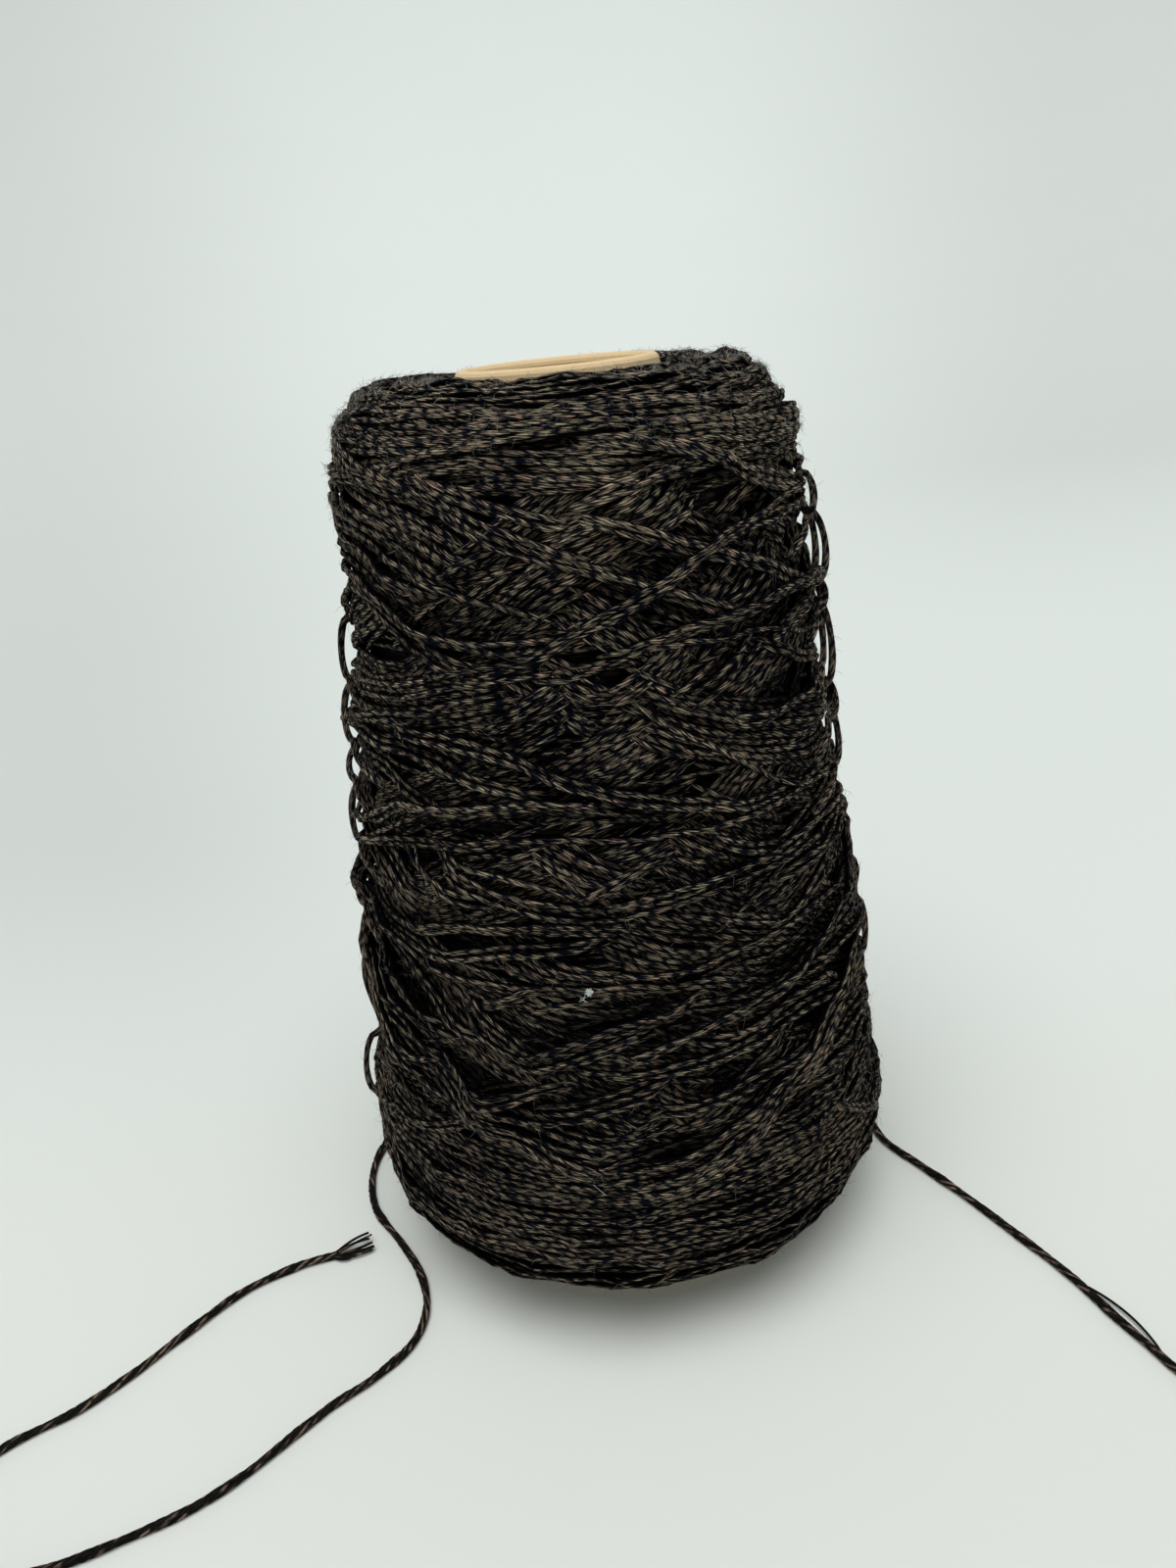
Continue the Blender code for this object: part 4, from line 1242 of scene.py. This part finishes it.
def hair_tubes(pile, low, high, count, reach):
    """Loose fibres off the outermost strands between two runs, more of them round the right shoulder."""
    random = pile.random
    places = []
    for strand in pile.strands():
        angle, run, lift = strand["angle"], strand["run"], strand["lift"]
        outer = pile.read(pile.near, angle, run) - lift < 0.5 * pile.thickness + 0.5
        picks = np.flatnonzero(outer & (run > low) & (run < high))
        places.append(np.column_stack([angle[picks], run[picks], lift[picks]]))
    places = np.concatenate(places)
    turn = from_front(places[:, 0])
    shoulder = (turn > 10.0) & (places[:, 1] > 160.0)
    weight = 1.0 + 2.0 * ((np.abs(np.abs(turn) - 85.0) < 25.0) | shoulder)
    angle, run, lift = places[random.choice(len(places), count, p=weight / weight.sum())].T
    root = pile.form.seat(angle, run, lift + 0.25 * pile.thickness)
    outward = unit(pile.form.seat(angle, run, lift + 1.25 * pile.thickness) - root)
    aside = unit(np.cross(outward, random.normal(size=(count, 3))))
    curl = np.cross(outward, aside)
    length = reach * random.uniform(0.35, 1.0, count)[:, None] ** 1.5
    lean, bend = random.uniform(0.3, 1.3, count)[:, None], random.normal(0.0, 0.8, count)[:, None]
    front = np.abs(from_front(angle)) < 62.0
    # Painted rim light: fibres on the sides, the back and the shoulder may be the palest, those on the front
    # only darker.
    pale = np.where(front & (run < 150.0), 0.35, np.where(front & (run < 168.0), 0.5, 1.0))
    steps = []
    for share in (0.0, 0.5, 1.0):
        tip = lean * (0.6 + 0.9 * share)
        across = outward * np.cos(tip) * share + aside * np.sin(tip) * share
        steps.append(root + length * (across + curl * bend * share**2))
    lines, off = np.stack(steps, axis=1), curl + 0.3 * outward
    radius = HAIR_RADIUS * np.array([1.0, 0.9, 0.3])
    return [Tube(lines[k], off[k], radius, radius, random.uniform(0.0, pale[k])) for k in range(count)]


def lint_tubes(pile):
    """The bit of pale lint on the front, and the few pale fibres that curl off the foot."""
    random = pile.random
    tubes = []
    for angle, run, reach, count in LINT:
        place = pile.form.seat(angle, run, pile.read(pile.near, angle, run) + 0.2)
        for _ in range(count):
            heading, bend = random.normal(size=3), random.normal(size=3)
            heading /= np.linalg.norm(heading)
            share = np.linspace(-0.5, 0.5, 7)[:, None]
            centres = place + 0.12 * reach * random.normal(size=3) * (count > 1)
            centres = centres + reach * (heading * share + 0.5 * bend * (share**2 - 0.1))
            radius = LINT_RADIUS * (1.0 if count > 2 else 0.6) * np.linspace(1.0, 0.6, 7)
            tubes.append(Tube(centres, np.cross(heading, bend), radius, radius, PALE))
    return tubes


def settle_piece(thing, material):
    """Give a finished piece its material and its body."""
    thing.data.materials.clear()
    thing.data.materials.append(material)
    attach(thing, BODY)
    return thing


def shared_material(maker):
    """A finish that several pieces share, made once."""
    return made_once(maker, bpy.context.scene.cone_yarn_colours)


def wind_group(group):
    """Make one piece of wound turns."""
    sizes = bpy.context.scene.cone_yarn_sizes
    pile = made_once(laid_pile)
    coarser, sides = FINENESS.get(group, (1.0, TUBE_SIDES))
    every = int(round(coarser * sizes.segment / MM / STEP))
    tubes = strand_tubes(pile, group, every)
    thing = tubes_mesh(group, tubes, sides, sizes.twist / MM)
    return settle_piece(thing, shared_material(marled_yarn_finish))


# ---------------------------------------------------------------- loose ends


def yarn_centreline(route, rise):
    """The middle line of a loose end, an even step apart, in millimetres."""
    lowest = 0.5 * YARN_DIAMETER + YARN_LIFT
    height = np.append(rise, np.zeros(len(route) - len(rise)))
    line = evenly(smooth_curve(np.column_stack([route, height + lowest])), LINE_STEP)
    line[:, 2] = np.maximum(line[:, 2], lowest)
    return line


def on_table(centres, radius, tone, start=0.0):
    """A round tube that lies on the table where it would sink into it."""
    centres[:, 2] = np.maximum(centres[:, 2], radius + YARN_LIFT)
    return Tube(centres, UPWARD, radius, radius, tone, start)


def ply_tubes(line, plies, ply_radius, pitch, random):
    """The plies of a loose end, twisted round its middle line."""
    across, off = ring_frames(line, UPWARD)
    length = gone_along(line)
    swell = 1.0 + 0.22 * np.sin(length / 2.3 + 0.4) * np.sin(length / 7.1 + 1.0)
    wind = 2.0 * math.pi * (length / pitch + 0.12 * np.sin(length / 9.0))
    tubes = []
    for k in range(plies):
        reach = 0.0 if k == plies - 1 else 0.5 * YARN_DIAMETER - ply_radius
        turn = wind + 2.0 * math.pi * k / (plies - 1) + 0.25 * np.sin(length / 5.0 + 2.0 * k)
        offset = reach * swell * (1.0 + 0.1 * np.sin(length / 3.3 + k))
        centres = line + across * (offset * np.cos(turn))[:, None]
        centres = centres + off * (offset * np.sin(turn) * 0.92)[:, None]
        radius = ply_radius * (1.0 + 0.14 * np.sin(length / 1.7 + 1.3 * k))
        tone = float(k % 2) * 0.9 + random.uniform(0.0, 0.1)
        tubes.append(on_table(centres, radius, tone, random.uniform(0.0, 1.0)))
    return tubes


def splayed_ply(line, radius):
    """One thin ply that has come away from the yarn's side."""
    line = line[-SPLAY_FIRST : 1 - SPLAY_LAST]
    share = np.linspace(0.0, 1.0, len(line))
    side = unit(np.cross(UPWARD, np.gradient(line, axis=0)))
    centres = line + side * (0.4 + SPLAY_REACH * np.sin(math.pi * share) ** 0.8)[:, None]
    return Tube(centres, UPWARD, radius * np.ones(len(line)), radius * np.ones(len(line)), 0.05)


def fray_tubes(line, ply_radius, random):
    """Plies that have come apart at the end of a yarn."""
    heading = line[-1] - line[-4]
    heading /= np.linalg.norm(heading)
    side = np.array([-heading[1], heading[0], 0.0])
    share = np.linspace(0.0, 1.0, 12)[:, None]
    tubes = []
    for k, (reach, aside, rise, curl, thin) in enumerate(FRAYS):
        centres = line[-1] + heading * (reach * share - 0.6) + side * (aside * share**1.3 + 0.18 * (3.0 - k))
        centres = centres + side * curl * np.sin(math.pi * share) + UPWARD * rise * share**1.5
        radius = ply_radius * thin * np.linspace(1.0, 0.8, 12)
        tubes.append(on_table(centres, radius, float(k % 2) * 0.9, random.uniform(0.0, 1.0)))
    return tubes


def spun_shape(name, section, closed):
    """A smooth shape spun round the upright axis from a section of radius and height.

    An open section starts on the axis, where its corners are merged into one.
    """
    body = bmesh.new()
    corners = [body.verts.new((r, 0.0, z)) for r, z in section]
    nexts = corners[1:] + corners[:1] if closed else corners[1:]
    edges = [body.edges.new(pair) for pair in zip(corners, nexts)]
    turned = {"cent": (0.0, 0.0, 0.0), "axis": UPWARD, "angle": 2.0 * math.pi}
    bmesh.ops.spin(body, geom=corners + edges, steps=SPIN_STEPS, use_merge=True, **turned)
    if not closed:
        bmesh.ops.remove_doubles(body, verts=body.verts, dist=1e-5)
    bmesh.ops.recalc_face_normals(body, faces=body.faces)
    mesh = bpy.data.meshes.new(name)
    body.to_mesh(mesh)
    body.free()
    mesh.shade_smooth()
    return placed(name, mesh)


# ---------------------------------------------------------------- operators


class ConeYarnOperator(bpy.types.Operator):
    """A step in making the cone of yarn."""

    bl_options = {"REGISTER", "UNDO"}


class YARN_OT_camera(ConeYarnOperator):
    """Set up the camera at the photograph's viewing angle."""

    bl_idname = "cone_yarn.camera"
    bl_label = "Camera"

    def execute(self, context):
        pitch, roll = math.radians(CAMERA_PITCH), math.radians(CAMERA_ROLL)
        ahead = Vector((0.0, math.cos(pitch), -math.sin(pitch)))
        right = Vector((1.0, 0.0, 0.0))
        up = Vector((0.0, math.sin(pitch), math.cos(pitch)))
        image_right = math.cos(roll) * right - math.sin(roll) * up
        image_up = math.sin(roll) * right + math.cos(roll) * up
        lens = bpy.data.cameras.new("camera")
        lens.lens, lens.sensor_width, lens.sensor_fit = CAMERA_LENS, 36.0, "AUTO"
        lens.clip_start, lens.clip_end = 0.01, 20.0
        camera = context.scene.camera = placed("camera", lens)
        turned = Matrix((image_right, image_up, -ahead)).transposed()
        place = Vector([x * MM for x in CAMERA_PLACE])
        camera.matrix_world = Matrix.Translation(place) @ turned.to_4x4()
        return {"FINISHED"}


class YARN_OT_loose_ends(ConeYarnOperator):
    """Lay out the two loose ends with their twisted plies, the left one's frayed tip and the right one's
    splayed ply.
    """

    bl_idname = "cone_yarn.loose_ends"
    bl_label = "Loose ends"

    def execute(self, context):
        sizes = context.scene.cone_yarn_ends
        random = np.random.default_rng(SEED + 1)
        ply_radius, pitch = sizes.ply_radius / MM, sizes.ply_pitch / MM
        material = shared_material(loose_yarn_finish)
        for name, route, rise in (("left", LEFT_ROUTE, LEFT_RISE), ("right", RIGHT_ROUTE, RIGHT_RISE)):
            line = yarn_centreline(route, rise)
            if name == "left":
                line = line[: -int(FRAY_LENGTH / LINE_STEP)]
            tubes = ply_tubes(line, sizes.plies, ply_radius, pitch, random)
            if name == "right":
                tubes.append(splayed_ply(line, 0.85 * ply_radius))
            yarn = tubes_mesh(f"loose_yarn_{name}", tubes, LOOSE_SIDES, pitch)
            settle_piece(yarn, material)
            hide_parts(f"loose_end_{name}")
            if name == "left":
                plies = fray_tubes(line, ply_radius, random)
                fray = tubes_mesh("frayed_tip_left", plies, LOOSE_SIDES, pitch)
                settle_piece(fray, material)
        return {"FINISHED"}


class YARN_OT_pasteboard(ConeYarnOperator):
    """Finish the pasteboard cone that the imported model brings."""

    bl_idname = "cone_yarn.pasteboard"
    bl_label = "Pasteboard cone"

    def execute(self, context):
        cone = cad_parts["paper_cone"]
        material = shared_material(pasteboard_finish)
        for slot in cone.material_slots:
            slot.material = material
        return {"FINISHED"}


class YARN_OT_core(ConeYarnOperator):
    """Turn the dark core that the gaps between the turns open on."""

    bl_idname = "cone_yarn.core"
    bl_label = "Buried turns"

    def execute(self, context):
        form = WoundForm()
        runs = np.linspace(form.run[0] + 2.0, form.run[-1] - 2.0, 60)
        depths = (END_CORE_DEPTH, CORE_DEPTH, CORE_DEPTH, END_CORE_DEPTH)
        line = form.seat(90.0, runs, -np.interp(runs, CORE_RUNS, depths))
        section = [(x, z) for x, _, z in line]
        section += [(CONE_NOSE_RADIUS + 0.8, section[-1][1]), (CONE_BASE_RADIUS + 0.2, section[0][1])]
        core = spun_shape("buried_turns", [(r * MM, z * MM) for r, z in section], closed=True)
        settle_piece(core, shared_material(wound_core_finish))
        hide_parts("wound_yarn")
        return {"FINISHED"}


class YARN_OT_turns(ConeYarnOperator):
    """Wind the turns of yarn, layer by layer."""

    bl_idname = "cone_yarn.turns"
    bl_label = "Turns of yarn"

    def execute(self, context):
        for group in list(made_once(laid_pile).groups):
            wind_group(group)
        return {"FINISHED"}


class YARN_OT_hairs(ConeYarnOperator):
    """Raise the loose fibres off the shoulders and the sides."""

    bl_idname = "cone_yarn.hairs"
    bl_label = "Loose fibres"

    def execute(self, context):
        pile, hairs = made_once(laid_pile), context.scene.cone_yarn_sizes.hairs
        material = shared_material(loose_fibre_finish)
        for name, low, high, count, reach in (
            ("shoulder_fibres", 150.0, 184.0, int(0.6 * hairs), 1.7),
            ("side_fibres", 0.0, 150.0, int(0.4 * hairs), 2.4),
        ):
            fibres = tubes_mesh(name, hair_tubes(pile, low, high, count, reach), HAIR_SIDES, 1.0)
            settle_piece(fibres, material)
        settle_piece(tubes_mesh("pale_lint", lint_tubes(pile), LINT_SIDES, 1.0), material)
        return {"FINISHED"}


class YARN_OT_stage(ConeYarnOperator):
    """Set up the pale floor that curves up all round, and the soft light."""

    bl_idname = "cone_yarn.stage"
    bl_label = "Stage"

    def execute(self, context):
        section = [(share * FLOOR_FLAT, 0.0) for share in np.linspace(0.0, 1.0, 4)]
        for a in np.radians(np.linspace(3.0, 75.0, 24)):
            section.append((FLOOR_FLAT + FLOOR_CURVE * math.sin(a), FLOOR_CURVE - FLOOR_CURVE * math.cos(a)))
        floor = spun_shape("studio_floor", section, closed=False)
        floor.data.materials.append(shared_material(floor_finish))
        world = bpy.data.worlds.new("studio_air")
        world.use_nodes = True
        background = world.node_tree.nodes["Background"]
        background.inputs["Color"].default_value = AIR
        background.inputs["Strength"].default_value = AIR_STRENGTH
        context.scene.world = world
        lamp = bpy.data.lights.new("overhead_light", "SUN")
        lamp.angle, lamp.energy = math.radians(LAMP_ANGLE), LAMP_ENERGY
        light = placed("overhead_light", lamp)
        light.rotation_mode = "QUATERNION"
        light.rotation_quaternion = Vector(LAMP_PLACE).to_track_quat("Z", "Y")
        context.scene.view_settings.view_transform = "Standard"
        return {"FINISHED"}


class YARN_PT_panel(bpy.types.Panel):
    """The steps of the cone of yarn, in the 3D view's sidebar."""

    bl_idname = "YARN_PT_panel"
    bl_label = "Cone of yarn"
    bl_space_type = "VIEW_3D"
    bl_region_type = "UI"
    bl_category = "Yarn"

    def draw(self, context):
        layout = self.layout
        for group in ("cone_yarn_sizes", "cone_yarn_ends", "cone_yarn_colours"):
            settings = getattr(context.scene, group)
            box = layout.box()
            for name in settings.__annotations__:
                box.prop(settings, name)
        for step in STEPS:
            layout.operator(step.bl_idname)


STEPS = (
    YARN_OT_camera,
    YARN_OT_loose_ends,
    YARN_OT_pasteboard,
    YARN_OT_core,
    YARN_OT_turns,
    YARN_OT_hairs,
    YARN_OT_stage,
)
CLASSES = (YarnSizes, LooseEndSizes, YarnColours, *STEPS, YARN_PT_panel)


def register():
    """Register the add-on's classes and settings."""
    for thing in CLASSES:
        bpy.utils.register_class(thing)
    bpy.types.Scene.cone_yarn_sizes = PointerProperty(type=YarnSizes)
    bpy.types.Scene.cone_yarn_ends = PointerProperty(type=LooseEndSizes)
    bpy.types.Scene.cone_yarn_colours = PointerProperty(type=YarnColours)


def unregister():
    """Take the add-on's classes and settings out again."""
    for name in ("cone_yarn_sizes", "cone_yarn_ends", "cone_yarn_colours"):
        delattr(bpy.types.Scene, name)
    for thing in reversed(CLASSES):
        bpy.utils.unregister_class(thing)


def main():
    """Make every piece in order."""
    register()
    for step in STEPS:
        group, name = step.bl_idname.split(".")
        getattr(getattr(bpy.ops, group), name)()


if __name__ == "__main__":
    main()
